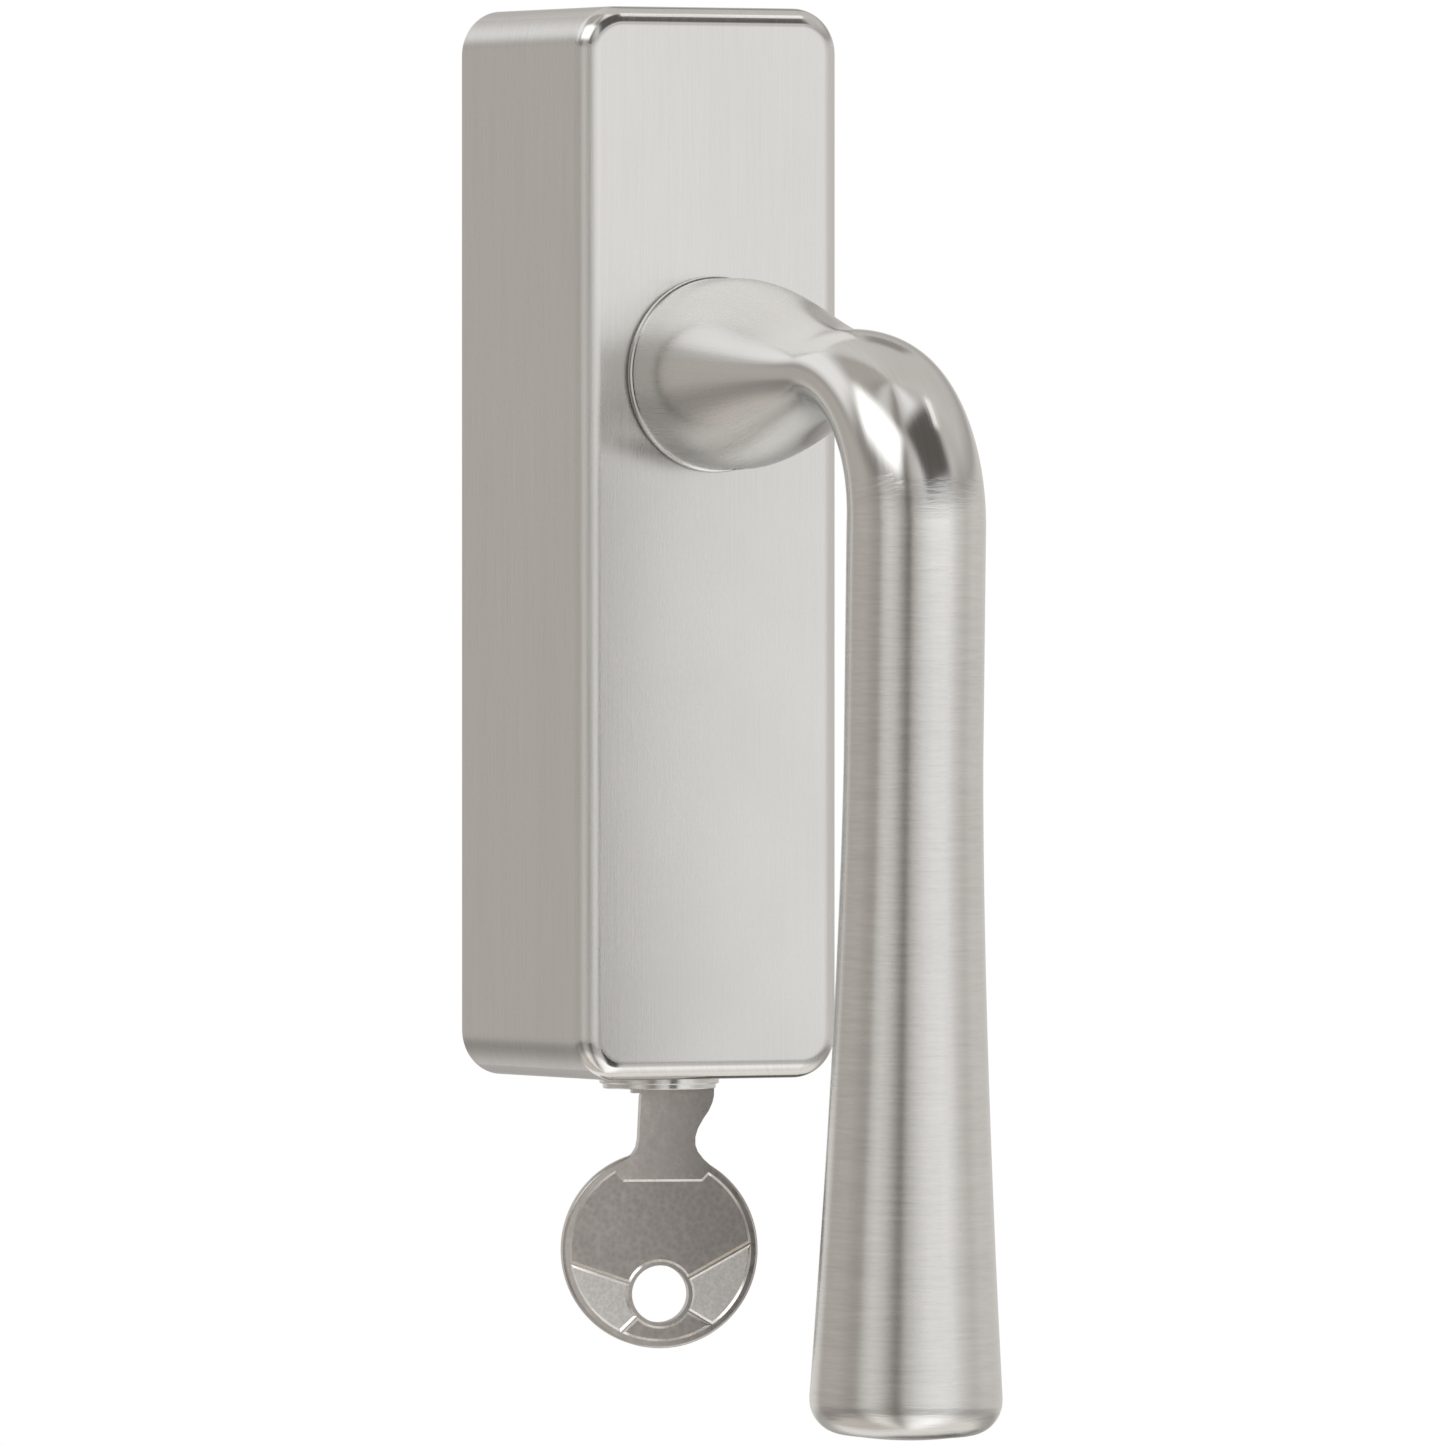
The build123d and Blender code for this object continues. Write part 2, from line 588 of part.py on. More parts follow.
def cylinder_plug():
    """Brass plug with its keyway and five pin chambers, drawn with the key's plane along X."""
    plug = rod_z(PLUG_R, (LOCK_FACE, PLUG_END))
    plug += rod_z(PLUG_FLANGE_R, (LOCK_FACE, LOCK_FACE + PLUG_FLANGE_T))
    plug += Pos(0, 0, PLUG_END + CAM_T / 2) * Box(TANG_AF, TANG_AF, CAM_T)
    margin = 0.15
    keyway = (LOCK_FACE - 1, BLADE_TIP + 0.6)
    plug -= box((BLADE_LOW - margin, BLADE_HIGH + margin), (-KEYWAY_T / 2, KEYWAY_T / 2), keyway)
    groove = rod_z(PLUG_R + 1, (CLIP_Z - 0.05, CLIP_Z + CLIP_T + 0.05))
    plug -= groove - rod_z(CLIP_GROOVE_R, (CLIP_Z - 1, CLIP_Z + CLIP_T + 1))
    for z in PIN_ZS:
        plug -= Pos(PLUG_R / 2 + 0.5, 0, z) * Rot(0, 90, 0) * Cylinder(CHAMBER_R, PLUG_R + 1)
    return in_lock(plug)


def key_pins():
    """Five key pins that stand on the cuts and end at the shear line."""
    pins = []
    for i, z in enumerate(PIN_ZS):
        inner, outer = bit_height(i) + 0.04, PLUG_R - 0.12
        pins.append(in_lock(Pos((inner + outer) / 2, 0, z) * Rot(0, 90, 0) * Cylinder(PIN_R, outer - inner)))
    return group(pins)


def plug_circlip():
    """Open ring in the plug's groove, behind the barrel."""
    ring = rod_z(PLUG_R + 1.6, (CLIP_Z, CLIP_Z + CLIP_T)) - rod_z(CLIP_GROOVE_R + 0.02, (CLIP_Z - 1, CLIP_Z + 2))
    ring -= box((0, PLUG_R + 3), (-1.6, 1.6), (CLIP_Z - 1, CLIP_Z + 2))
    return in_lock(ring)


def drive_place():
    """The drive pin's centre at rest, as x and y."""
    angle = radians(DRIVE_ANGLE)
    return DRIVE_RADIUS * cos(angle), LOCK_Y + DRIVE_RADIUS * sin(angle)


def tail_cam():
    """Disc on the plug's square tang, with the eccentric drive pin."""
    z = (PLUG_END, PLUG_END + CAM_T)
    cam = in_lock(rod_z(CAM_R, z) - Pos(0, 0, sum(z) / 2) * Box(TANG_AF, TANG_AF, CAM_T + 1))
    x, y = drive_place()
    drive = rod_z(DRIVE_PIN_R, (z[1], FOOT_Z[1] + 0.6), x, y)
    root = rod_z(DRIVE_PIN_R + 0.75, (z[1], z[1] + 0.4), x, y)
    return cam + drive + (root & rod_z(CAM_R, (z[1], z[1] + 0.4), 0, LOCK_Y))


# ---------------------------------------------------------------- locking slide
def locking_slide():
    """Bar on the guide rods. Its foot has a cross slot round the drive pin."""
    slide = box(BAR_X, BAR_Y, (FOOT_Z[0], BAR_TOP))
    slide += box((BAR_X[0], FOOT_RIGHT), FOOT_Y, FOOT_Z)
    x_bar = sum(BAR_X) / 2
    for z in ROD_HEIGHTS:
        slide -= rod_y(ROD_R + RUNNING_CLEARANCE, (BAR_Y[0] - 1, BAR_Y[1] + 1), x_bar, z)
    slide -= rod_y(1.5, (BAR_Y[0] - 1, BAR_Y[1] + 1), x_bar, 0)
    y = drive_place()[1]
    half = DRIVE_PIN_R + DRIVE_SLOT_CLEARANCE
    left = -DRIVE_RADIUS - half
    right = -DRIVE_RADIUS * cos(radians(45)) + half
    slide -= box((left, right), (y - half, y + half), (FOOT_Z[0] - 1, FOOT_Z[1] + 1))
    return slide


def locking_pin():
    """Hardened pin pressed in the bar, which enters a hole of the index disc."""
    x = sum(BAR_X) / 2
    pin = rod_y(NOSE_R, (BAR_Y[1], NOSE_TIP_Y), x, 0)
    pin = chamfer(pin.edges().sort_by(Axis.Y)[-1], 0.4)
    return pin + rod_y(1.5, (BAR_Y[0], BAR_Y[1]), x, 0)


# ---------------------------------------------------------------- key
def key():
    """Flat key with a stepped blade, a shoulder, a short shank and a round bow with a ring hole."""
    blade = box((BLADE_LOW, BLADE_HIGH), (-BLADE_T / 2, BLADE_T / 2), (LOCK_FACE, BLADE_TIP))
    for i, z in enumerate(PIN_ZS):
        start = z - PIN_PITCH / 2
        blade -= box((bit_height(i), PLUG_R + 1), (-2, 2), (start, BLADE_TIP + 1))
    tip = [(BLADE_LOW - 1, BLADE_TIP + 0.1), (BLADE_LOW + 1.6, BLADE_TIP + 0.1), (BLADE_LOW - 1, BLADE_TIP - 2.5)]
    cutter = Plane.XZ * make_face(Polyline(*tip, close=True))
    blade -= extrude(cutter, 3, both=True)
    shank = [
        (SHANK_E[0] + 0.3, LOCK_FACE - 0.05), (SHOULDER_E, LOCK_FACE - 0.05), (SHOULDER_E - 1.0, LOCK_FACE - 2.2),
        (SHANK_E[1], LOCK_FACE - 3.6), (SHANK_E[1], BOW_Z + 9), (SHANK_E[0], BOW_Z + 9),
    ]
    shank_solid = extrude(Plane.XZ * make_face(Polyline(*shank, close=True)), KEY_T / 2, both=True)
    bow = rod_y(BOW_R, (-KEY_T / 2, KEY_T / 2), 0, BOW_Z)
    bow = fillet(bow.edges(), 0.4)
    bow -= rod_y(KEY_HOLE_R, (-KEY_T, KEY_T), 0, KEY_HOLE_Z)
    joint = box((BLADE_LOW + 1.4, BLADE_HIGH - 0.4), (-BLADE_T / 2, BLADE_T / 2), (LOCK_FACE - 1, LOCK_FACE + 1))
    return in_lock(blade + joint + shank_solid + bow)


# ---------------------------------------------------------------- all sub-parts
PARTS = {
    "base_plate": base_plate,
    "cover": cover,
    "cover_screw": cover_screw,
    "front_plate": front_plate,
    "spacer_pillars": spacer_pillars,
    "pillar_screws": pillar_screws,
    "guide_rods": guide_rods,
    "rear_bush": rear_bush,
    "neck_bush": neck_bush,
    "spring_posts": spring_posts,
    "fixing_screws": fixing_screws,
    "cylinder_body": cylinder_body,
    "collar_nut": collar_nut,
    "cylinder_saddle": cylinder_saddle,
    "saddle_screws": saddle_screws,
    "cylinder_screw": cylinder_screw,
    "driver_pins": driver_pins,
    "pin_springs": pin_springs,
    "chamber_caps": chamber_caps,
    "handle": handle,
    "spindle": spindle,
    "grub_screw": grub_screw,
    "index_hub": index_hub,
    "hub_pin": hub_pin,
    "cylinder_plug": cylinder_plug,
    "key_pins": key_pins,
    "tail_cam": tail_cam,
    "plug_circlip": plug_circlip,
    "locking_slide": locking_slide,
    "locking_pin": locking_pin,
    "key": key,
}

os.makedirs("parts", exist_ok=True)
for name, make in PARTS.items():
    save(make(), name)
save(detent_spring(-1), "detent_spring_left")
save(detent_spring(1), "detent_spring_right")
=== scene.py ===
import json
from math import atan2, cos, degrees, hypot, pi, radians, sin

import bmesh
import bpy
from mathutils import Matrix, Vector


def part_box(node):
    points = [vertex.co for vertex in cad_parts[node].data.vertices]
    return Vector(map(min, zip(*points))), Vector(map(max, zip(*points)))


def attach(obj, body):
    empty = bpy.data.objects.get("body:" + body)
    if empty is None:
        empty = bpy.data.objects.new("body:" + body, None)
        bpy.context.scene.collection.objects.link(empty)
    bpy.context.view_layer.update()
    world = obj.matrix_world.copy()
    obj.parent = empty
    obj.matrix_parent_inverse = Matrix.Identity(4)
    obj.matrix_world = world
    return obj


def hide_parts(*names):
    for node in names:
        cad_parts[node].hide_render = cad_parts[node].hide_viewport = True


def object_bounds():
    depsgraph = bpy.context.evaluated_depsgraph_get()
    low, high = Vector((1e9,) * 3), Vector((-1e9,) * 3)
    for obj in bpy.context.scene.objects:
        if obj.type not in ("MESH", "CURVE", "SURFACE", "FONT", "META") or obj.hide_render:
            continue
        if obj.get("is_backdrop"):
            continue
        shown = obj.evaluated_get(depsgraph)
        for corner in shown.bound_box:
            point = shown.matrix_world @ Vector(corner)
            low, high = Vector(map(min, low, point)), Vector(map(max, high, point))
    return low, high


bl_info = {
    "name": "Lockable Window Handle",
    "version": (1, 0, 0),
    "blender": (4, 5, 0),
    "location": "View3D > Sidebar > Window Handle",
    "description": "Makes the visible pieces, finishes and studio of a lockable window handle",
    "category": "Add Mesh",
}

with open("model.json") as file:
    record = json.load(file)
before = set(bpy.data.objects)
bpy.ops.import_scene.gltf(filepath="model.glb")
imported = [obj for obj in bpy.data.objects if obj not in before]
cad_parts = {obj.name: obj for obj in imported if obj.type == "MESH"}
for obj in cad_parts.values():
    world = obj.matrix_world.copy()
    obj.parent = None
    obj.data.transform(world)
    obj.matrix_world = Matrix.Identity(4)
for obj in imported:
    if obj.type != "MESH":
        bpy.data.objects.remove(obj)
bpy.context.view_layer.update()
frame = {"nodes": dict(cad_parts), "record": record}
MM = 0.001
COVER_LOW, COVER_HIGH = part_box("cover")
HANDLE_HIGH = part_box("handle")[1]
COLLAR_LOW, COLLAR_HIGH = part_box("collar_nut")
KEY_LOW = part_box("key")[0]
SCREWS_LOW, SCREWS_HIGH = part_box("fixing_screws")
FRONT_Y = COVER_LOW.y
LOCK_Y = (COLLAR_LOW.y + COLLAR_HIGH.y) / 2
LOCK_FACE = COLLAR_LOW.z
SNAP = 1e-6
MERGE = 1e-7


# ---------------------------------------------------------------- sizes and colours
def length(name, description, default):
    return bpy.props.FloatProperty(
        name=name, description=description, default=default, min=0.0, unit="LENGTH", subtype="DISTANCE", precision=5,
    )


def colour(name, description, default):
    return bpy.props.FloatVectorProperty(
        name=name, description=description, default=default, size=3, min=0.0, max=1.0, subtype="COLOR",
    )


def amount(name, description, default):
    return bpy.props.FloatProperty(name=name, description=description, default=default, min=0.0, max=2.0)


class CasingSizes(bpy.types.PropertyGroup):
    corner: length("Corner radius", "Radius of the casing's four upright corners", 5.5 * MM)
    front_round: length("Front rounding", "Radius round the casing's front edge", 2.5 * MM)
    wall: length("Wall", "Thickness of the die-cast wall", 1.5 * MM)
    neck_hole: length("Neck hole", "Radius of the hole for the neck's bush", 9.3 * MM)
    slot_half: length("Slot half-width", "Half the width of the slot for the lock's neck", 6.7 * MM)
    screw_y: length("Screw setback", "Distance of the top screw from the sash", 8.0 * MM)


class HandleSizes(bpy.types.PropertyGroup):
    lip_radius: length("Lip radius", "Radius of the thin lip against the casing", 11.9 * MM)
    lip: length("Lip thickness", "Thickness of the lip", 0.6 * MM)
    neck_radius: length("Neck radius", "Radius of the neck where it starts", 11.6 * MM)
    neck_length: length("Neck length", "Casing's face to the start of the elbow", 34.0 * MM)
    waist_x: length("Waist half-width", "Half-width of the neck where the elbow starts", 8.0 * MM)
    waist_z: length("Waist half-height", "Half-height of the neck where the elbow starts", 5.2 * MM)
    elbow: length("Elbow radius", "Radius of the elbow's centre line", 17.5 * MM)
    grip_radius: length("Grip radius", "Radius of the grip's straight length", 8.3 * MM)
    straight: length("Straight length", "Length of the grip before it flares", 27.0 * MM)
    flare: length("Flare", "How much the grip's radius grows towards its end", 3.2 * MM)
    flare_length: length("Flare length", "Length over which the grip flares", 77.0 * MM)
    end_round: length("End rounding", "Radius of the grip's rounded end", 4.3 * MM)
    lean: bpy.props.FloatProperty(
        name="Lean", description="How far the grip leans out from the sash", default=radians(1.4), subtype="ANGLE")


class KeySizes(bpy.types.PropertyGroup):
    bow_radius: length("Bow radius", "Radius of the key's round bow", 12.0 * MM)
    thickness: length("Thickness", "Thickness of the bow and shank", 2.4 * MM)
    blade: length("Blade thickness", "Thickness of the blade", 2.0 * MM)
    rim: length("Rim width", "Width of the raised rim round the bow", 1.15 * MM)
    pocket: length("Panel depth", "How deep the bow's panels are sunk", 0.35 * MM)
    bar: length("Bar height", "Height of the top panel's straight edge above the bow's centre", 8.3 * MM)
    ring_hole: length("Ring hole radius", "Radius of the hole for a split ring", 3.5 * MM)
    turn: bpy.props.FloatProperty(
        name="Turn", description="Angle of the bow from the plane of the sash", default=radians(-20), subtype="ANGLE")


class Finishes(bpy.types.PropertyGroup):
    nickel: colour("Satin nickel", "Brushed plate of the casing and the handle", (0.74, 0.733, 0.712))
    key_nickel: colour("Key nickel", "Duller plate of the key", (0.52, 0.49, 0.46))
    plated_brass: colour("Plated brass", "Nickel-plated brass of the lock", (0.68, 0.63, 0.52))
    brass: colour("Brass", "Turned brass of the pins", (0.80, 0.62, 0.32))
    zinc: colour("Zinc plate", "Zinc-plated steel sheet", (0.62, 0.63, 0.65))
    steel: colour("Steel", "Bright steel of the fasteners", (0.60, 0.60, 0.60))
    spring: colour("Spring steel", "Tempered spring steel", (0.42, 0.43, 0.46))
    acetal: colour("Acetal", "Natural white plastic of the bushes", (0.88, 0.87, 0.83))
    brush_depth: amount("Brush depth", "Strength of the brushed lines", 0.35)


# ---------------------------------------------------------------- shared node groups
def place(tree, kind, x, y, inputs=None, **values):
    """A node at a place in its tree, with its settings and the values of its inputs."""
    node = tree.nodes.new(kind)
    node.location = (x, y)
    for name, value in values.items():
        setattr(node, name, value)
    for name, value in (inputs or {}).items():
        node.inputs[name].default_value = value
    return node


def socket(group, name, way, kind, default=None):
    made = group.interface.new_socket(name=name, in_out=way, socket_type="NodeSocket" + kind)
    if default is not None:
        made.default_value = default
    return made


def brush_group():
    """Fine lines that run one way, with coarser streaks among them, and a slow smudge."""
    if "Brush Lines" in bpy.data.node_groups:
        return bpy.data.node_groups["Brush Lines"]
    group = bpy.data.node_groups.new("Brush Lines", "ShaderNodeTree")
    socket(group, "Vector", "INPUT", "Vector")
    socket(group, "Fineness", "INPUT", "Vector", (1.0, 1.0, 1.0))
    socket(group, "Smudge Scale", "INPUT", "Float", 60.0)
    socket(group, "Lines", "OUTPUT", "Float")
    socket(group, "Streaks", "OUTPUT", "Float")
    socket(group, "Smudge", "OUTPUT", "Float")
    start = place(group, "NodeGroupInput", -800, 0)
    end = place(group, "NodeGroupOutput", 600, 0)
    stretch = place(group, "ShaderNodeVectorMath", -560, 160, operation="MULTIPLY")
    fine = place(group, "ShaderNodeTexNoise", -320, 240, {"Scale": 1.0, "Detail": 3.0, "Roughness": 0.7})
    broad = place(group, "ShaderNodeTexNoise", -320, -20, {"Scale": 0.17, "Detail": 2.0})
    slow = place(group, "ShaderNodeTexNoise", -320, -280, {"Detail": 3.0})
    spread = place(group, "ShaderNodeMapRange", -60, 240, {"From Min": 0.28, "From Max": 0.72})
    spread_broad = place(group, "ShaderNodeMapRange", -60, -20, {"From Min": 0.32, "From Max": 0.68})
    link = group.links.new
    link(start.outputs["Vector"], stretch.inputs[0])
    link(start.outputs["Fineness"], stretch.inputs[1])
    link(stretch.outputs[0], fine.inputs["Vector"])
    link(stretch.outputs[0], broad.inputs["Vector"])
    link(start.outputs["Vector"], slow.inputs["Vector"])
    link(start.outputs["Smudge Scale"], slow.inputs["Scale"])
    link(fine.outputs["Fac"], spread.inputs["Value"])
    link(broad.outputs["Fac"], spread_broad.inputs["Value"])
    link(spread.outputs["Result"], end.inputs["Lines"])
    link(spread_broad.outputs["Result"], end.inputs["Streaks"])
    link(slow.outputs["Fac"], end.inputs["Smudge"])
    return group


def grain_group():
    """Cast or blasted grain: small rounded pits and lumps."""
    if "Cast Grain" in bpy.data.node_groups:
        return bpy.data.node_groups["Cast Grain"]
    group = bpy.data.node_groups.new("Cast Grain", "ShaderNodeTree")
    socket(group, "Vector", "INPUT", "Vector")
    socket(group, "Size", "INPUT", "Float", 1500.0)
    socket(group, "Grain", "OUTPUT", "Float")
    start = place(group, "NodeGroupInput", -600, 0)
    end = place(group, "NodeGroupOutput", 400, 0)
    pits = place(group, "ShaderNodeTexVoronoi", -340, 120)
    lumps = place(group, "ShaderNodeTexNoise", -340, -160, {"Detail": 4.0})
    both = place(group, "ShaderNodeMath", 60, 0, operation="MULTIPLY")
    link = group.links.new
    for texture in (pits, lumps):
        link(start.outputs["Vector"], texture.inputs["Vector"])
        link(start.outputs["Size"], texture.inputs["Scale"])
    link(pits.outputs["Distance"], both.inputs[0])
    link(lumps.outputs["Fac"], both.inputs[1])
    link(both.outputs[0], end.inputs["Grain"])
    return group


# ---------------------------------------------------------------- materials
def blank_material(name):
    material = bpy.data.materials.new(name)
    material.use_nodes = True
    tree = material.node_tree
    tree.nodes.clear()
    shader = place(tree, "ShaderNodeBsdfPrincipled", 300, 0)
    output = place(tree, "ShaderNodeOutputMaterial", 600, 0)
    tree.links.new(shader.outputs["BSDF"], output.inputs["Surface"])
    return material, tree, shader


def ranged(tree, value, low, high, x, y):
    """Maps a mask from 0 to 1 on to a range."""
    node = place(tree, "ShaderNodeMapRange", x, y, {"To Min": low, "To Max": high})
    tree.links.new(value, node.inputs["Value"])
    return node.outputs["Result"]


def tinted(tree, mask, tone, darker, lighter, x, y):
    """Colour that runs from a darker to a lighter tone with a mask."""
    node = place(tree, "ShaderNodeMix", x, y, data_type="RGBA")
    node.inputs["A"].default_value = (*[c * darker for c in tone], 1.0)
    node.inputs["B"].default_value = (*[min(1.0, c * lighter) for c in tone], 1.0)
    tree.links.new(mask, node.inputs["Factor"])
    return node.outputs["Result"]


def rough_about(tree, fine, slow, roughness, fine_reach, slow_reach):
    """Roughness that varies both finely and slowly about a middle value."""
    rough = place(tree, "ShaderNodeMath", -60, -60, operation="ADD")
    fine = ranged(tree, fine, roughness - fine_reach, roughness + fine_reach, -240, -40)
    tree.links.new(fine, rough.inputs[0])
    tree.links.new(ranged(tree, slow, -slow_reach, slow_reach, -240, -300), rough.inputs[1])
    return rough.outputs[0]


def bumped(tree, height, shader, strength, distance):
    """Raises a shader's surface with a height mask."""
    bump = place(tree, "ShaderNodeBump", 60, -260, {"Strength": strength, "Distance": distance})
    tree.links.new(height, bump.inputs["Height"])
    tree.links.new(bump.outputs["Normal"], shader.inputs["Normal"])


def grain_node(tree, size):
    where = place(tree, "ShaderNodeTexCoord", -900, 0)
    grain = place(tree, "ShaderNodeGroup", -660, 0, {"Size": size}, node_tree=grain_group())
    tree.links.new(where.outputs["Object"], grain.inputs["Vector"])
    return where, grain.outputs["Grain"]


def brushed_metal(name, tone, roughness, fineness, depth, anisotropy=0.0, blur_turn=0.0, uses_uv=False,
                  contrast=0.05, smudge_scale=60.0, polish=None):
    """Brushed plate. Its lines are finest along the axis with the highest fineness.

    Polish is where along the UV map's first axis it starts and ends, and the roughness that it adds there.
    """
    material, tree, shader = blank_material(name)
    link = tree.links.new
    where = place(tree, "ShaderNodeTexCoord", -900, 0)
    brush = place(tree, "ShaderNodeGroup", -660, 0, {"Fineness": fineness, "Smudge Scale": smudge_scale},
                  node_tree=brush_group())
    link(where.outputs["UV" if uses_uv else "Object"], brush.inputs["Vector"])
    streak_share = 0.22
    mixed = place(tree, "ShaderNodeMath", -420, 60, {1: streak_share}, operation="MULTIPLY_ADD")
    link(brush.outputs["Streaks"], mixed.inputs[0])
    softer = place(tree, "ShaderNodeMath", -420, 260, {1: 1.0 - streak_share}, operation="MULTIPLY")
    link(brush.outputs["Lines"], softer.inputs[0])
    link(softer.outputs[0], mixed.inputs[2])
    lines = mixed.outputs[0]
    link(tinted(tree, lines, tone, 1.0 - contrast, 1.0 + contrast, -160, 200), shader.inputs["Base Color"])
    total = rough_about(tree, lines, brush.outputs["Smudge"], roughness, 0.03, 0.04)
    if polish:
        total = polished(tree, where.outputs["UV"], total, *polish)
    link(total, shader.inputs["Roughness"])
    bumped(tree, lines, shader, depth, 0.01 * MM)
    shader.inputs["Metallic"].default_value = 1.0
    if anisotropy:
        shader.inputs["Anisotropic"].default_value = anisotropy
        shader.inputs["Anisotropic Rotation"].default_value = blur_turn
        tangent = place(tree, "ShaderNodeTangent", 60, -480, direction_type="UV_MAP", uv_map="UVMap")
        link(tangent.outputs["Tangent"], shader.inputs["Tangent"])
    return material


def polished(tree, uv, roughness, start, end, change):
    """Changes the roughness evenly along the piece, between two lengths on its UV map."""
    split = place(tree, "ShaderNodeSeparateXYZ", -660, -420)
    tree.links.new(uv, split.inputs[0])
    run = place(tree, "ShaderNodeMapRange", -420, -520, {"From Min": start, "From Max": end, "To Max": change},
                interpolation_type="SMOOTHSTEP")
    tree.links.new(split.outputs["X"], run.inputs["Value"])
    total = place(tree, "ShaderNodeMath", 60, -120, operation="ADD")
    tree.links.new(roughness, total.inputs[0])
    tree.links.new(run.outputs["Result"], total.inputs[1])
    return total.outputs[0]


def grained_metal(name, tone, roughness, size, depth, contrast=0.08):
    """Cast, blasted or plated metal with a fine grain."""
    material, tree, shader = blank_material(name)
    link = tree.links.new
    where, grain = grain_node(tree, size)
    brush = place(tree, "ShaderNodeGroup", -660, -260, {"Fineness": [size / 3] * 3}, node_tree=brush_group())
    link(where.outputs["Object"], brush.inputs["Vector"])
    pale = ranged(tree, grain, 0.0, 2.2, -420, 200)
    link(tinted(tree, pale, tone, 1.0 - contrast, 1.0 + contrast, -160, 200), shader.inputs["Base Color"])
    rough = rough_about(tree, brush.outputs["Lines"], brush.outputs["Smudge"], roughness, 0.05, 0.05)
    link(rough, shader.inputs["Roughness"])
    bumped(tree, grain, shader, depth, 0.05 * MM)
    shader.inputs["Metallic"].default_value = 1.0
    return material


def moulded_plastic(name, tone):
    """Slightly waxy moulded plastic."""
    material, tree, shader = blank_material(name)
    grain = grain_node(tree, 900.0)[1]
    tree.links.new(tinted(tree, grain, tone, 0.95, 1.02, -160, 200), shader.inputs["Base Color"])
    tree.links.new(ranged(tree, grain, 0.42, 0.52, -240, -40), shader.inputs["Roughness"])
    bumped(tree, grain, shader, 0.15, 0.05 * MM)
    return material


# ---------------------------------------------------------------- mesh helpers
def object_from(bm, name, materials=()):
    """A linked object from a bmesh, with its doubles merged and its faces turned outwards."""
    bmesh.ops.remove_doubles(bm, verts=bm.verts, dist=MERGE)
    bmesh.ops.recalc_face_normals(bm, faces=bm.faces)
    made = object_as_is(bm, name)
    for material in materials:
        made.data.materials.append(material)
    return made


def object_as_is(bm, name):
    """A linked object from a bmesh that is left as it stands."""
    mesh = bpy.data.meshes.new(name)
    bm.to_mesh(mesh)
    bm.free()
    made = bpy.data.objects.new(name, mesh)
    bpy.context.scene.collection.objects.link(made)
    return made


def keep_result(obj):
    """Puts the result of an object's modifiers in place of its mesh."""
    bpy.context.view_layer.update()
    graph = bpy.context.evaluated_depsgraph_get()
    result = bpy.data.meshes.new_from_object(obj.evaluated_get(graph))
    obj.modifiers.clear()
    old, obj.data = obj.data, result
    result.name = obj.name
    bpy.data.meshes.remove(old)


def discard(obj):
    mesh = obj.data
    bpy.data.objects.remove(obj)
    bpy.data.meshes.remove(mesh)


def combine(obj, tool_bm, operation="DIFFERENCE"):
    """Cuts a tool from an object, or joins it, and keeps the result as plain mesh."""
    tool = object_from(tool_bm, "tool")
    modifier = obj.modifiers.new("combine", "BOOLEAN")
    modifier.operation = operation
    modifier.solver = "EXACT"
    modifier.object = tool
    keep_result(obj)
    discard(tool)


def smooth(obj, angle=30.0, weighted=True):
    """Smooth shading that keeps crisp edges, with flat faces kept flat."""
    mesh = obj.data
    mesh.polygons.foreach_set("use_smooth", [True] * len(mesh.polygons))
    mesh.set_sharp_from_angle(angle=radians(angle))
    if weighted:
        modifier = obj.modifiers.new("Flat faces", "WEIGHTED_NORMAL")
        modifier.mode = "FACE_AREA"
        modifier.weight = 60
        modifier.keep_sharp = True


def finish_piece(obj, body, slot, *nodes):
    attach(obj, body)
    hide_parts(*nodes)


def section_at(centre, direction, half_x, half_in):
    """Matrix that lays a unit circle square to a direction in the handle's upright plane."""
    across = Vector((1, 0, 0))
    along = Vector(direction).normalized()
    inward = along.cross(across)
    return Matrix((
        (across.x * half_x, inward.x * half_in, along.x, centre[0]),
        (across.y * half_x, inward.y * half_in, along.y, centre[1]),
        (across.z * half_x, inward.z * half_in, along.z, centre[2]),
        (0, 0, 0, 1),
    ))


def sweep(sections, segments):
    """Closed skin through a row of oval sections, with its length and turn laid out as a UV map."""
    bm = bmesh.new()
    run = bm.verts.layers.float.new("run")
    turn = bm.verts.layers.float.new("turn")
    ring = bmesh.ops.create_circle(bm, segments=segments, radius=1.0, matrix=sections[0])["verts"]
    for i, vert in enumerate(ring):
        vert[turn] = i / segments
    first = edges = list({edge for vert in ring for edge in vert.link_edges})
    travelled = 0.0
    for before, after in zip(sections, sections[1:]):
        made = bmesh.ops.extrude_edge_only(bm, edges=edges)["geom"]
        verts = [item for item in made if isinstance(item, bmesh.types.BMVert)]
        edges = [item for item in made if isinstance(item, bmesh.types.BMEdge) and item.is_boundary]
        grown = abs(after.col[0].length - before.col[0].length)
        travelled += hypot((after.translation - before.translation).length, grown)
        bmesh.ops.transform(bm, matrix=after @ before.inverted(), verts=verts)
        for vert in verts:
            vert[run] = travelled
    bmesh.ops.holes_fill(bm, edges=first + edges, sides=0)
    layer = bm.loops.layers.uv.new("UVMap")
    for face in bm.faces:
        turns = [loop.vert[turn] for loop in face.loops]
        wraps = max(turns) - min(turns) > 0.5
        for loop, value in zip(face.loops, turns):
            loop[layer].uv = (loop.vert[run], value + (1.0 if wraps and value < 0.5 else 0.0))
    return bm


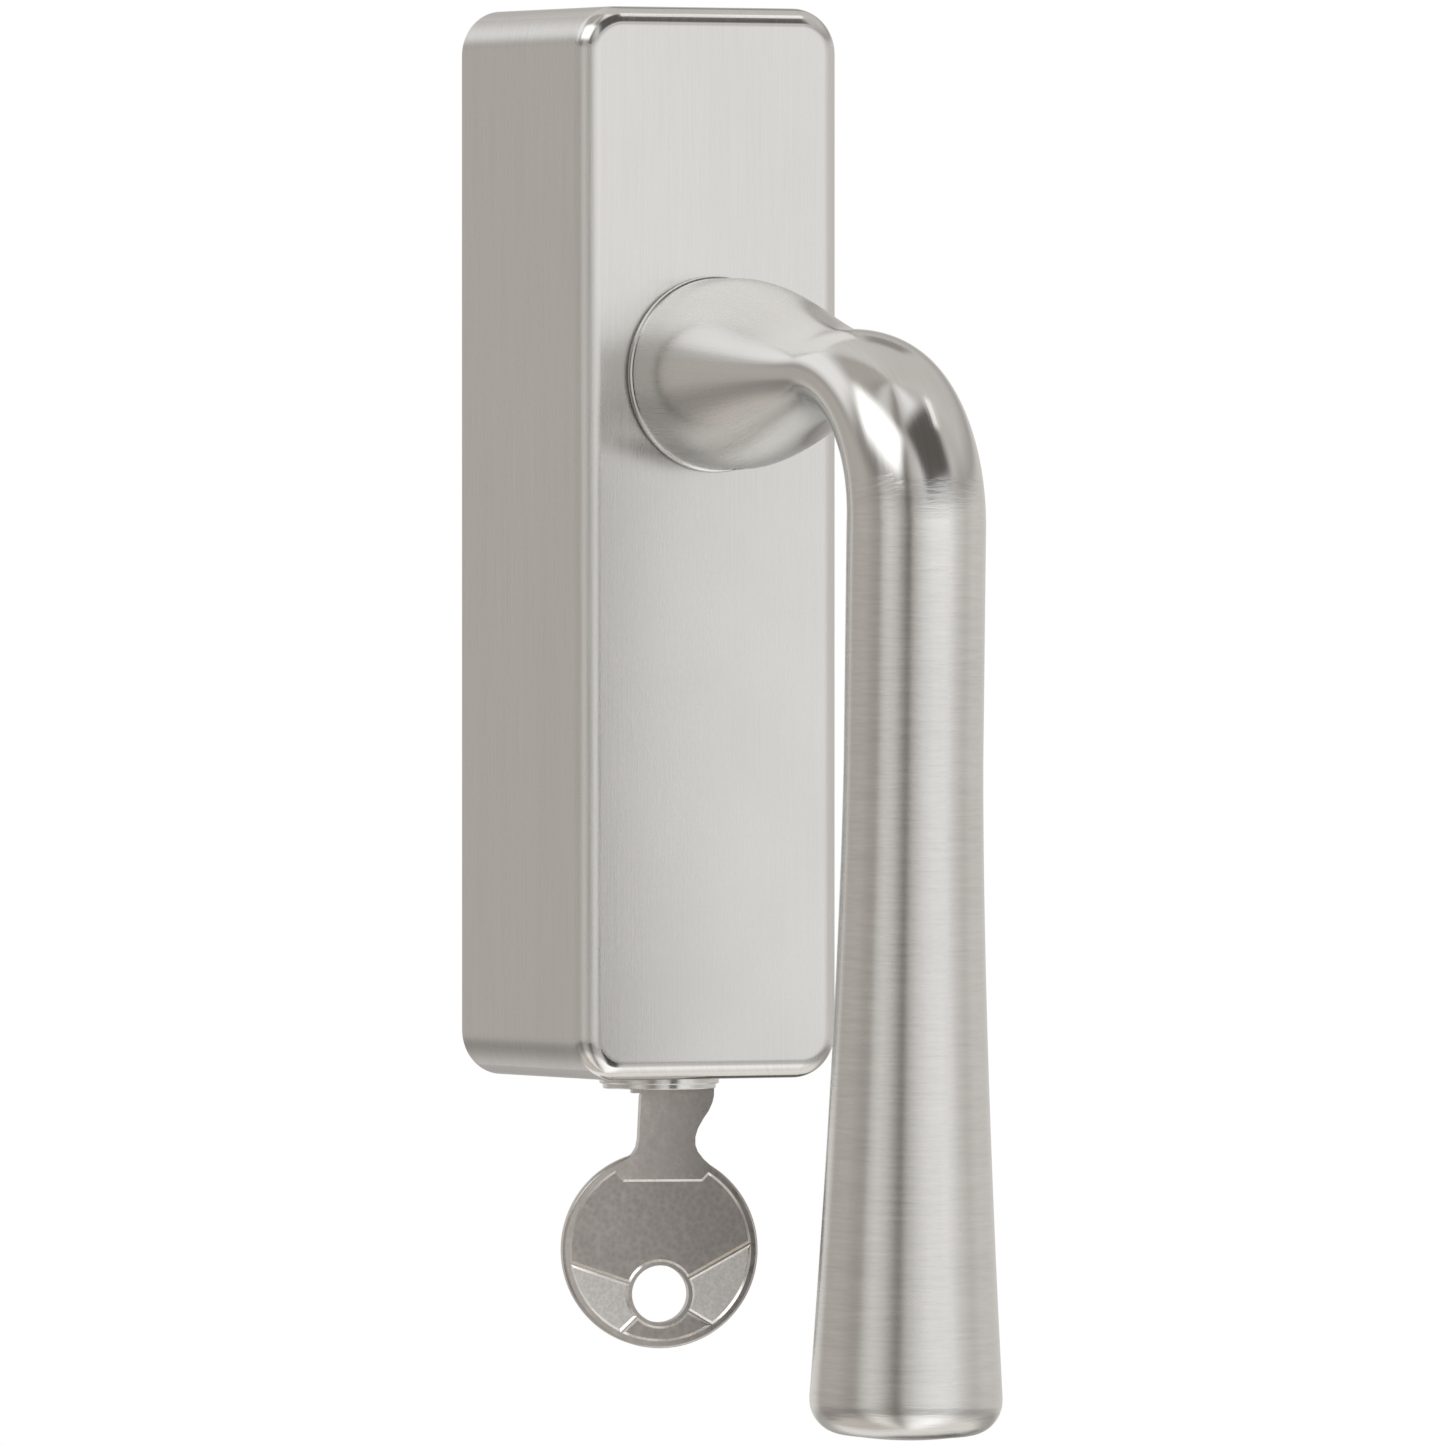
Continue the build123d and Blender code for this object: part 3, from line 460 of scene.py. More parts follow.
def rod(radius, start, end, segments=64, end_radius=None):
    """Closed rod or cone between two points."""
    start, end = Vector(start), Vector(end)
    bm = bmesh.new()
    turn = (end - start).to_track_quat("Z", "Y").to_matrix().to_4x4()
    bmesh.ops.create_cone(
        bm, cap_ends=True, segments=segments, radius1=radius, radius2=radius if end_radius is None else end_radius,
        depth=(end - start).length, matrix=Matrix.Translation((start + end) / 2) @ turn,
    )
    return bm


def block(low, high):
    """Closed box between two corners."""
    low, high = Vector(low), Vector(high)
    bm = bmesh.new()
    grow = Matrix.Diagonal((*(high - low), 1))
    bmesh.ops.create_cube(bm, size=1.0, matrix=Matrix.Translation((low + high) / 2) @ grow)
    return bm


def outline_slab(points, half_thickness):
    """Closed slab from an outline of x and z, set evenly on both sides of y = 0."""
    bm = bmesh.new()
    face = bm.faces.new([bm.verts.new((x, -half_thickness, z)) for x, z in points])
    grown = bmesh.ops.extrude_face_region(bm, geom=[face])["geom"]
    moved = [item for item in grown if isinstance(item, bmesh.types.BMVert)]
    bmesh.ops.translate(bm, vec=(0, 2 * half_thickness, 0), verts=moved)
    return bm


def upright_edges(bm):
    return [e for e in bm.edges if abs((e.verts[0].co - e.verts[1].co).normalized().y) > 0.99]


def bevel(bm, edges, offset, segments, material=-1, clamp=True):
    bmesh.ops.bevel(
        bm, geom=edges, offset=offset, offset_type="OFFSET", segments=segments, profile=0.5, affect="EDGES",
        material=material, clamp_overlap=clamp,
    )


# ---------------------------------------------------------------- pieces
class WINDOWHANDLE_OT_casing(bpy.types.Operator):
    """Make the die-cast casing, open at the back, with its neck hole, lock slot and screw hole"""
    bl_idname = "window_handle.casing"
    bl_label = "Casing"

    def execute(self, context):
        sizes, finish = context.scene.casing_sizes, context.scene.finishes
        bm = block(COVER_LOW, COVER_HIGH)
        bevel(bm, upright_edges(bm), sizes.corner, 16)
        rim = [e for e in bm.edges if all(abs(v.co.y - COVER_LOW.y) < SNAP for v in e.verts)]
        bevel(bm, rim, sizes.front_round, 10)
        backs = [f for f in bm.faces if all(abs(v.co.y - COVER_HIGH.y) < SNAP for v in f.verts)]
        bmesh.ops.delete(bm, geom=backs, context="FACES")
        bmesh.ops.recalc_face_normals(bm, faces=bm.faces)
        middle = (COVER_LOW + COVER_HIGH) / 2
        if any(f.normal.dot(f.calc_center_median() - middle) < 0 for f in bm.faces if f.normal.y < -0.9):
            bmesh.ops.reverse_faces(bm, faces=bm.faces)
        casing = object_as_is(bm, "cover_shell")
        thicken(casing, sizes.wall)
        hole = rod(sizes.neck_hole, (0, FRONT_Y - MM, 0), (0, FRONT_Y + sizes.wall + MM, 0), 96)
        combine(casing, hole)
        low, high, slot = COVER_LOW.z - MM, COVER_LOW.z + sizes.wall + MM, sizes.slot_half
        combine(casing, rod(slot, (0, LOCK_Y, low), (0, LOCK_Y, high), 64))
        combine(casing, block((-slot, LOCK_Y, low), (slot, MM, high)))
        top, at = COVER_HIGH.z, -sizes.screw_y
        screw, head, sunk = 1.6 * MM, 2.9 * MM, 1.25 * MM
        combine(casing, rod(screw, (0, at, top - sizes.wall - MM), (0, at, top + MM), 48))
        combine(casing, rod(screw, (0, at, top - sunk), (0, at, top + 0.05 * MM), 48, head))
        lay_casing_uv(casing.data)
        casing.data.materials.clear()
        for name, roughness, depth in (("casing nickel", 0.28, 1.2), ("casing edge", 0.13, 0.4)):
            casing.data.materials.append(brushed_metal(
                name, finish.nickel, roughness, (3300, 55, 1), depth * finish.brush_depth, anisotropy=0.82,
                uses_uv=True, contrast=0.06, smudge_scale=45.0))
        side_y, front_y, least_z = 0.06, 0.995, 0.12
        for face in casing.data.polygons:
            rounded = side_y < -face.normal.y < front_y
            face.material_index = 1 if rounded and abs(face.normal.z) > least_z else 0
        smooth(casing, 35)
        finish_piece(casing, "root", "satin_nickel", "cover")
        return {"FINISHED"}


def thicken(obj, wall):
    """Gives an open skin its wall on the inside, and keeps the result as plain mesh."""
    modifier = obj.modifiers.new("wall", "SOLIDIFY")
    modifier.thickness = wall
    modifier.offset = -1.0
    modifier.use_even_offset = True
    keep_result(obj)


def lay_casing_uv(mesh):
    """UV map whose first axis runs round the casing and whose second runs up it."""
    layer = mesh.uv_layers.get("UVMap") or mesh.uv_layers.new(name="UVMap")
    for face in mesh.polygons:
        level = abs(face.normal.z) > 0.75
        side = 1.0 if face.center.x > 0 else -1.0
        for i in face.loop_indices:
            x, y, z = mesh.vertices[mesh.loops[i].vertex_index].co
            layer.data[i].uv = (x, y) if level else (x + side * (y - FRONT_Y), z)


def neck_half(distance, start, waist):
    """Half-size of the neck at a distance from the casing's face, an ease from its start to its waist."""
    full, thin = 6.0 * MM, 35.0 * MM
    t = min(1.0, max(0.0, (distance - full) / (thin - full)))
    return start + (waist - start) * (t * t * (3 - 2 * t))


def handle_sections(sizes):
    """Oval sections from the journal, through lip, neck and elbow, to the grip's rounded end."""
    made = []
    journal = 8.0 * MM
    journal_end = HANDLE_HIGH.y
    seat = FRONT_Y - 0.1 * MM
    out = (0, -1, 0)

    def turned(y, radius):
        made.append(section_at((0, y, 0), out, radius, radius))

    turned(journal_end, journal - 0.4 * MM)
    turned(journal_end - 0.4 * MM, journal)
    turned(seat, journal)
    gap = 0.32 * MM
    turned(seat, sizes.neck_radius - 0.15 * MM)
    turned(seat - gap, sizes.neck_radius - 0.15 * MM)
    turned(seat - gap, sizes.lip_radius - 0.12 * MM)
    turned(seat - gap - 0.04 * MM, sizes.lip_radius - 0.03 * MM)
    turned(seat - gap - 0.12 * MM, sizes.lip_radius)
    turned(seat - gap - sizes.lip + 0.30 * MM, sizes.lip_radius)
    turned(seat - gap - sizes.lip + 0.10 * MM, sizes.lip_radius - 0.09 * MM)
    turned(seat - gap - sizes.lip, sizes.lip_radius - 0.30 * MM)
    turned(seat - gap - sizes.lip, sizes.neck_radius)
    steps = 40
    begin = 0.1 * MM + gap + sizes.lip
    for i in range(1, steps + 1):
        distance = begin + (sizes.neck_length - begin) * i / steps
        halves = [neck_half(distance, sizes.neck_radius, waist) for waist in (sizes.waist_x, sizes.waist_z)]
        made.append(section_at((0, FRONT_Y - distance, 0), out, *halves))
    elbow_y = FRONT_Y - sizes.neck_length
    full_turn = pi / 2 + sizes.lean
    steps = 36
    for i in range(1, steps + 1):
        t = i / steps
        angle = full_turn * t
        ease = t * t * (3 - 2 * t) * 0.35 + t * 0.65
        made.append(section_at(
            (0, elbow_y - sizes.elbow * sin(angle), -sizes.elbow * (1 - cos(angle))),
            (0, -cos(angle), -sin(angle)),
            sizes.waist_x + (sizes.grip_radius - sizes.waist_x) * ease,
            sizes.waist_z + (sizes.grip_radius - sizes.waist_z) * ease))
    end_y, end_z = elbow_y - sizes.elbow * sin(full_turn), -sizes.elbow * (1 - cos(full_turn))
    axis = Vector((0, -cos(full_turn), -sin(full_turn)))

    def on_grip(run, radius):
        made.append(section_at(Vector((0, end_y, end_z)) + axis * run, axis, radius, radius))

    for i in range(1, 10):
        on_grip(sizes.straight * i / 9, sizes.grip_radius)
    steps = 40
    for i in range(1, steps + 1):
        t = i / steps
        on_grip(sizes.straight + sizes.flare_length * t, sizes.grip_radius + sizes.flare * t ** 1.55)
    wide = sizes.grip_radius + sizes.flare
    slope = sizes.flare * 1.55 / sizes.flare_length
    corner = sizes.straight + sizes.flare_length + 0.2 * MM
    for i in range(1, 13):
        angle = pi / 2 * i / 12
        grown = wide + slope * 2 * MM * sin(angle)
        on_grip(corner + sizes.end_round * sin(angle), grown - sizes.end_round * (1 - cos(angle)))
    flat = wide - sizes.end_round
    for i in range(1, 6):
        t = i / 6
        on_grip(corner + sizes.end_round + 0.6 * MM * (1 - (1 - t) ** 2), flat * (1 - t))
    return made


class WINDOWHANDLE_OT_handle(bpy.types.Operator):
    """Make the handle casting: journal, lip, neck, elbow and flared grip"""
    bl_idname = "window_handle.handle"
    bl_label = "Handle"

    def execute(self, context):
        sizes, finish = context.scene.handle_sizes, context.scene.finishes
        elbow_y = FRONT_Y - sizes.neck_length
        bm = sweep(handle_sections(sizes), 96)
        brush_change = -12.5 * MM
        for face in bm.faces:
            centre = face.calc_center_median()
            face.material_index = 1 if centre.z < brush_change and centre.y < elbow_y else 0
        lip = 25.0 * MM
        neck = brushed_metal(
            "neck nickel", finish.nickel, 0.27, (60, 130, 1), finish.brush_depth, anisotropy=0.35, blur_turn=0.25,
            uses_uv=True, contrast=0.03, smudge_scale=40.0, polish=(lip + 18 * MM, lip + 34 * MM, -0.12))
        bend = lip + sizes.neck_length + sizes.elbow * pi / 2
        grip = brushed_metal(
            "grip nickel", finish.nickel, 0.18, (1600, 8, 1), 7.0 * finish.brush_depth, anisotropy=0.6,
            uses_uv=True, contrast=0.09, smudge_scale=40.0, polish=(bend - 6 * MM, bend + 14 * MM, 0.07))
        handle = object_from(bm, "handle_casting", (neck, grip))
        socket_half, socket_end = 3.53 * MM, -44.5 * MM
        combine(handle, block(
            (-socket_half, socket_end, -socket_half), (socket_half, HANDLE_HIGH.y + MM, socket_half)))
        # The grub screw's hole is a hair off the centre plane, so that none of its edges falls on one of the neck's.
        grub, grub_y, aside = 2.0 * MM, -38.5 * MM, 0.02 * MM
        combine(handle, rod(grub, (aside, grub_y, -13 * MM), (aside, grub_y, -3.4 * MM), 48))
        smooth(handle, 40)
        finish_piece(handle, "handle_body", "satin_nickel", "handle")
        return {"FINISHED"}


class WINDOWHANDLE_OT_collar(bpy.types.Operator):
    """Make the stepped ring nut under the casing"""
    bl_idname = "window_handle.collar"
    bl_label = "Lock collar"

    def execute(self, context):
        finish = context.scene.finishes
        top, low = COLLAR_HIGH.z, COLLAR_LOW.z
        wide, narrow, bore = 7.3 * MM, 6.9 * MM, 6.5 * MM
        step = top - 0.78 * MM
        soft = 0.12 * MM
        profile = [
            (bore, top), (wide - soft, top), (wide, top - soft), (wide, step + soft), (wide - soft, step),
            (narrow, step), (narrow, low + soft), (narrow - soft, low), (bore, low),
        ]
        bm = bmesh.new()
        verts = [bm.verts.new((r, LOCK_Y, z)) for r, z in profile]
        edges = [bm.edges.new(pair) for pair in zip(verts, verts[1:] + verts[:1])]
        bmesh.ops.spin(
            bm, geom=verts + edges, cent=(0, LOCK_Y, 0), axis=(0, 0, 1), angle=2 * pi, steps=96, use_merge=True)
        coat = grained_metal("collar nickel", finish.nickel, 0.24, 2500, 0.08, 0.03)
        collar = object_from(bm, "lock_collar", (coat,))
        smooth(collar, 35)
        finish_piece(collar, "root", "satin_nickel", "collar_nut")
        return {"FINISHED"}


SPOKES = (-71, 61, -134, 121)


class WINDOWHANDLE_OT_key(bpy.types.Operator):
    """Make the key: stepped blade, shoulder, shank and a bow with sunk panels"""
    bl_idname = "window_handle.key"
    bl_label = "Key"

    def execute(self, context):
        sizes, finish = context.scene.key_sizes, context.scene.finishes
        bow_z = KEY_LOW.z + sizes.bow_radius
        hole_z = bow_z - 5.4 * MM
        half = sizes.thickness / 2
        bm = rod(sizes.bow_radius, (0, -half, bow_z), (0, half, bow_z), 144)
        round_edges = [e for e in bm.edges if abs(e.verts[0].co.y - e.verts[1].co.y) < SNAP]
        bevel(bm, round_edges, 0.3 * MM, 3)
        key = object_from(bm, "key_piece", (
            grained_metal("key nickel", finish.key_nickel, 0.30, 1800, 0.12, 0.06),
            grained_metal("key panel", [c * 0.95 for c in finish.key_nickel], 0.40, 1500, 0.4, 0.12),
            grained_metal("key stipple", (0.86, 0.84, 0.81), 0.46, 2300, 0.9, 0.10),
            # The fourth material, nearly white and glossy, is a painted highlight for the sloped panel edges.
            grained_metal("key edge painted highlight", (0.97, 0.95, 0.92), 0.25, 1800, 0.05, 0.03),
        ))
        face = LOCK_FACE - 0.05 * MM
        shank = [
            (-2.1, 0), (6.6, 0), (6.58, -0.9), (6.4, -1.7), (5.95, -2.7), (5.2, -3.8), (4.6, -4.9), (4.3, -5.9),
            (4.3, -6.9), (4.6, -7.7), (5.3, -8.6), (6.3, -9.5), (6.0, -14.0), (-5.0, -14.0), (-5.5, -9.3),
            (-4.2, -8.6), (-3.3, -8.0), (-2.8, -7.2), (-2.6, -6.2), (-2.35, -1.0),
        ]
        combine(key, outline_slab([(x * MM, face + z * MM) for x, z in shank], half), "UNION")
        combine(key, outline_slab(self.blade_outline(), sizes.blade / 2), "UNION")
        for side in (-1, 1):
            self.sink_panels(key, sizes, bow_z, hole_z, side)
        self.ease_panel_edges(key.data, half, sizes, bow_z)
        combine(key, rod(sizes.ring_hole, (0, -3 * MM, hole_z), (0, 3 * MM, hole_z), 72))
        floor = half - sizes.pocket
        plain, panel, stipple, painted_highlight = range(4)
        for polygon in key.data.polygons:
            c = polygon.center
            sunk = abs(abs(c.y) - floor) < 0.02 * MM and abs(polygon.normal.y) > 0.99 and c.z < LOCK_FACE - 4 * MM
            angle = degrees(atan2(c.x, c.z - hole_z))
            beside = SPOKES[1] < angle < SPOKES[3] or SPOKES[2] < angle < SPOKES[0]
            if sunk:
                polygon.material_index = stipple if beside else panel
            # The sloped panel edges keep their pale material, a painted highlight.
            elif polygon.material_index != painted_highlight:
                polygon.material_index = plain
        smooth(key, 30)
        key.data.transform(Matrix.Translation((0, LOCK_Y, 0)) @ Matrix.Rotation(sizes.turn, 4, "Z"))
        finish_piece(key, "key_body", "key_nickel", "key")
        return {"FINISHED"}

    def ease_panel_edges(self, mesh, half, sizes, bow_z):
        """Slopes the upper edges of the sunk panels and gives the slopes a pale, glossy material, a painted
        highlight.
        """
        bm = bmesh.new()
        bm.from_mesh(mesh)
        bmesh.ops.remove_doubles(bm, verts=bm.verts, dist=MERGE)
        inside = sizes.bow_radius - 0.6 * sizes.rim

        def on_panel_edge(edge):
            a, b = edge.verts[0].co, edge.verts[1].co
            level = abs(abs(a.y) - half) < SNAP and abs(abs(b.y) - half) < SNAP
            near = all(hypot(v.x, v.z - bow_z) < inside for v in (a, b))
            return level and near and len(edge.link_faces) == 2 and edge.calc_face_angle(0) > radians(60)

        edges = [edge for edge in bm.edges if on_panel_edge(edge)]
        # Material 3 is the pale, glossy painted highlight.
        bevel(bm, edges, 0.3 * MM, 1, material=3, clamp=False)
        bm.to_mesh(mesh)
        bm.free()

    def blade_outline(self):
        """The blade from its shoulder to its tip, with five cuts that step down."""
        low, high, step = -3.4, 3.2, 0.6
        first, pitch, count = -80.5, 4.5, 5
        tip = -59.6
        points = [(low, LOCK_FACE / MM - 0.6), (high, LOCK_FACE / MM - 0.6)]
        for i in range(count):
            start = first + (i - 0.5) * pitch
            points += [(high - step * i, start - 0.25), (high - step * (i + 1), start + 0.25)]
        points += [(high - step * count, tip), (low + 1.6, tip), (low, tip - 2.3)]
        return [(x * MM, z * MM) for x, z in points]

    def sink_panels(self, key, sizes, bow_z, hole_z, side):
        """Sinks the panels of one face, round the ring hole's lip and four thin spokes."""
        near, far = side * (sizes.thickness / 2 - sizes.pocket), side * sizes.thickness
        past = 2 * sizes.thickness
        lip, spoke_half, spoke_end = 0.75 * MM, 0.4 * MM, 16 * MM
        tool = object_from(
            rod(sizes.bow_radius - sizes.rim, (0, near, bow_z), (0, far, bow_z), 144), "panel_tool")
        combine(tool, rod(sizes.ring_hole + lip, (0, -past, hole_z), (0, past, hole_z), 72))
        bar_z = bow_z + sizes.bar
        bar = [(-4.6, 0), (5.2, 0), (6.3, 1.15), (6.3, 5), (-5.7, 5), (-5.7, 1.15)]
        combine(tool, outline_slab([(x * MM, bar_z + z * MM) for x, z in bar], past))
        for angle in SPOKES:
            spoke = block((-spoke_half, -past, 0), (spoke_half, past, spoke_end))
            spin = Matrix.Translation((0, 0, hole_z)) @ Matrix.Rotation(radians(angle), 4, "Y")
            bmesh.ops.transform(spoke, matrix=spin, verts=spoke.verts)
            combine(tool, spoke)
        cutter = bmesh.new()
        cutter.from_mesh(tool.data)
        discard(tool)
        combine(key, cutter)


class WINDOWHANDLE_OT_screws(bpy.types.Operator):
    """Make the two fixing screws with real threads and cross recesses"""
    bl_idname = "window_handle.screws"
    bl_label = "Fixing screws"

    def execute(self, context):
        finish = context.scene.finishes
        steel = grained_metal("screw steel", finish.steel, 0.28, 1200, 0.1, 0.05)
        pitch, major, minor = 0.8 * MM, 2.5 * MM, 2.08 * MM
        tip, head_start = SCREWS_HIGH.y, SCREWS_LOW.y
        head, shoulder, plate = 4.6 * MM, 3.0 * MM, -2.5 * MM
        spacing = (SCREWS_HIGH.z - SCREWS_LOW.z) / 2 - head
        both = bmesh.new()
        for z in (-spacing, spacing):
            rings = [
                (head_start, head - 0.9 * MM), (head_start + 0.35 * MM, head - 0.25 * MM), (head_start + MM, head),
                (plate, head), (plate, shoulder), (0.0, shoulder), (0.0, minor),
            ]
            count = int((tip - 1.0 * MM) / (pitch / 4))
            rings += [(0.3 * MM + i * pitch / 4, minor) for i in range(count)]
            rings += [(tip - 0.3 * MM, minor), (tip, minor - 0.4 * MM)]
            bm = sweep([section_at((0, y, z), (0, 1, 0), r, r) for y, r in rings], 32)
            for vert in bm.verts:
                y = vert.co.y
                if 0.25 * MM < y < tip - 0.5 * MM:
                    angle = atan2(vert.co.z - z, vert.co.x) / (2 * pi)
                    wave = 1 - abs(2 * ((y / pitch + angle) % 1.0) - 1)
                    radius = minor + (major - minor) * min(1.0, 1.25 * wave)
                    vert.co.x *= radius / minor
                    vert.co.z = z + (vert.co.z - z) * radius / minor
            part = bpy.data.meshes.new("part")
            bm.to_mesh(part)
            bm.free()
            both.from_mesh(part)
            bpy.data.meshes.remove(part)
        screws = object_from(both, "threaded_screws", (steel,))
        for z in (-spacing, spacing):
            for wide, tall in ((2.2, 0.45), (0.45, 2.2)):
                combine(screws, block(
                    (-wide * MM, head_start - MM, z - tall * MM), (wide * MM, head_start + 1.6 * MM, z + tall * MM)))
        smooth(screws, 35, False)
        finish_piece(screws, "root", "steel_fastener", "fixing_screws")
        return {"FINISHED"}


class WINDOWHANDLE_OT_works(bpy.types.Operator):
    """Give every part of the lock, the bearings and the frame inside the casing its own finish"""
    bl_idname = "window_handle.works"
    bl_label = "Works and lock"

    def execute(self, context):
        finish = context.scene.finishes
        coats = {
            "nickel_brass": grained_metal("plated brass", finish.plated_brass, 0.26, 900, 0.08, 0.05),
            "brass": brushed_metal("turned brass", finish.brass, 0.24, (300, 4000, 300), 0.2),
            "zinc_plate": grained_metal("zinc plate", finish.zinc, 0.34, 500, 0.2, 0.10),
            "steel_fastener": brushed_metal("drawn steel", finish.steel, 0.26, (600, 2500, 600), 0.25),
            "spring_steel": brushed_metal("spring steel", finish.spring, 0.30, (900, 900, 900), 0.2),
            "bush_plastic": moulded_plastic("acetal", finish.acetal),
        }
        slots = {part["node"]: part["material_slot"] for part in frame["record"]["subparts"]}
        for name, node in frame["nodes"].items():
            coat = coats.get(slots[name])
            if coat is None:
                continue
            for holder in node.material_slots:
                holder.material = coat
        return {"FINISHED"}


# ---------------------------------------------------------------- stage
# Brightness of the studio's walls by compass heading, 0 straight out from the sash and positive to the right.
WALL_LIGHT = [
    (-180, 0.78), (-168, 0.76), (-155, 0.48), (-140, 0.52), (-118, 0.52), (-101, 0.43), (-92, 0.40), (-84, 0.68),
    (-72, 0.80), (-60, 0.68), (-48, 0.40), (-40, 0.18), (-31, 0.60), (-15, 0.88), (0, 1.02), (20, 1.06),
    (32, 0.98), (45, 0.78), (62, 0.64), (82, 0.72), (112, 0.68), (150, 0.70), (180, 0.78),
]
# Factor on it by height above the horizon: narrow dark gaps under the ceiling and over the lit floor.
HEIGHT_LIGHT = [
    (-90, 1.3), (-42, 1.35), (-30, 0.70), (-17, 0.55), (-9, 1.0), (9, 1.0), (16, 0.6), (30, 0.9), (90, 0.95),
]
DIM_WARMTH = (1.0, 0.93, 0.87)
# Ray depth from which a reflection counts as a later one.
LATER_DEPTH = 2.5
# Softboxes and black flags: heading, height, half-width and half-height in degrees, tilt, brightness, edge softness,
# and whether all reflections show them, or only a first or a later one.
LIGHT_PATCHES = [
    ("rear flag", 144, 38, 7, 7, 0, 0.32, 0.04, "first"),
    ("rear low flag", 142, -40, 11, 12, 0, 0.12, 0.05, "first"),
    ("left softbox", -78, 42, 26, 15, 0, 1.7, 0.12, "all"),
    ("back softbox", -145, 33, 22, 14, 0, 1.0, 0.15, "first"),
    ("right flag", 15, 46, 23, 21, 8, 0.12, 0.10, "first"),
    ("ceiling softbox", 61, 56, 9, 2.5, 35, 1.5, 0.03, "first"),
    ("front softbox", 5, 45, 40, 24, 0, 1.25, 0.15, "later"),
    ("left flag", -118, 0, 62, 45, 0, 0.02, 0.15, "later"),
    ("right back flag", 130, 0, 50, 45, 0, 0.05, 0.15, "later"),
]


def facing(heading, up):
    heading, up = radians(heading), radians(up)
    return Vector((sin(heading) * cos(up), -cos(heading) * cos(up), sin(up)))


def fill_ramp(ramp, stops, warm=True):
    """Sets a ramp's stops. Dim stops are a little warm."""
    while len(ramp.elements) > 1:
        ramp.elements.remove(ramp.elements[-1])
    for i, (position, light) in enumerate(stops):
        element = ramp.elements[0] if i == 0 else ramp.elements.new(position)
        element.position = position
        element.color = (*warmed(light, warm), 1.0)


def warmed(light, warm=True):
    dim = max(0.0, min(1.0, (0.95 - light) / 0.45)) if warm else 0.0
    return [light * (1 - dim * (1 - c)) for c in DIM_WARMTH]


def light_patch(tree, direction, depth_masks, under, patch, row):
    """Lays a rectangular softbox, or a black flag, over the light that is already there."""
    name, heading, up, half_w, half_h, tilt, light, soft, seen = patch
    link = tree.links.new
    middle = facing(heading, up)
    across = Vector((cos(radians(heading)), sin(radians(heading)), 0))
    rise = across.cross(middle) * -1
    turn = Matrix.Rotation(radians(tilt), 3, middle)
    y = -420 * (row + 1)
    depth = place(tree, "ShaderNodeVectorMath", -700, y, {1: middle}, operation="DOT_PRODUCT")
    link(direction, depth.inputs[0])
    positive = place(tree, "ShaderNodeMath", -500, y, {1: 0.02}, operation="MAXIMUM")
    link(depth.outputs["Value"], positive.inputs[0])
    masks = []
    for i, (axis, half) in enumerate(((turn @ across, half_w), (turn @ rise, half_h))):
        reach = sin(radians(half)) / max(0.05, cos(radians(half)))
        low = y - 140 * (i + 1)
        offset = place(tree, "ShaderNodeVectorMath", -700, low, {1: axis}, operation="DOT_PRODUCT")
        link(direction, offset.inputs[0])
        share = place(tree, "ShaderNodeMath", -500, low, operation="DIVIDE")
        link(offset.outputs["Value"], share.inputs[0])
        link(positive.outputs[0], share.inputs[1])
        size = place(tree, "ShaderNodeMath", -300, low, operation="ABSOLUTE")
        link(share.outputs[0], size.inputs[0])
        edge = place(tree, "ShaderNodeMapRange", -100, low, {
            "From Min": reach + soft, "From Max": max(0.0, reach - soft)}, interpolation_type="SMOOTHSTEP")
        link(size.outputs[0], edge.inputs["Value"])
        masks.append(edge.outputs["Result"])
    mask = place(tree, "ShaderNodeMath", 100, y, operation="MULTIPLY")
    link(masks[0], mask.inputs[0])
    link(masks[1], mask.inputs[1])
    if seen != "all":
        limited = place(tree, "ShaderNodeMath", 200, y - 160, operation="MULTIPLY")
        link(mask.outputs[0], limited.inputs[0])
        link(depth_masks[seen], limited.inputs[1])
        mask = limited
    over = place(tree, "ShaderNodeMix", 300, y, {"B": (*warmed(light), 1.0)}, data_type="RGBA", label=name,
                 clamp_result=False)
    link(mask.outputs[0], over.inputs["Factor"])
    link(under, over.inputs["A"])
    return over.outputs["Result"]


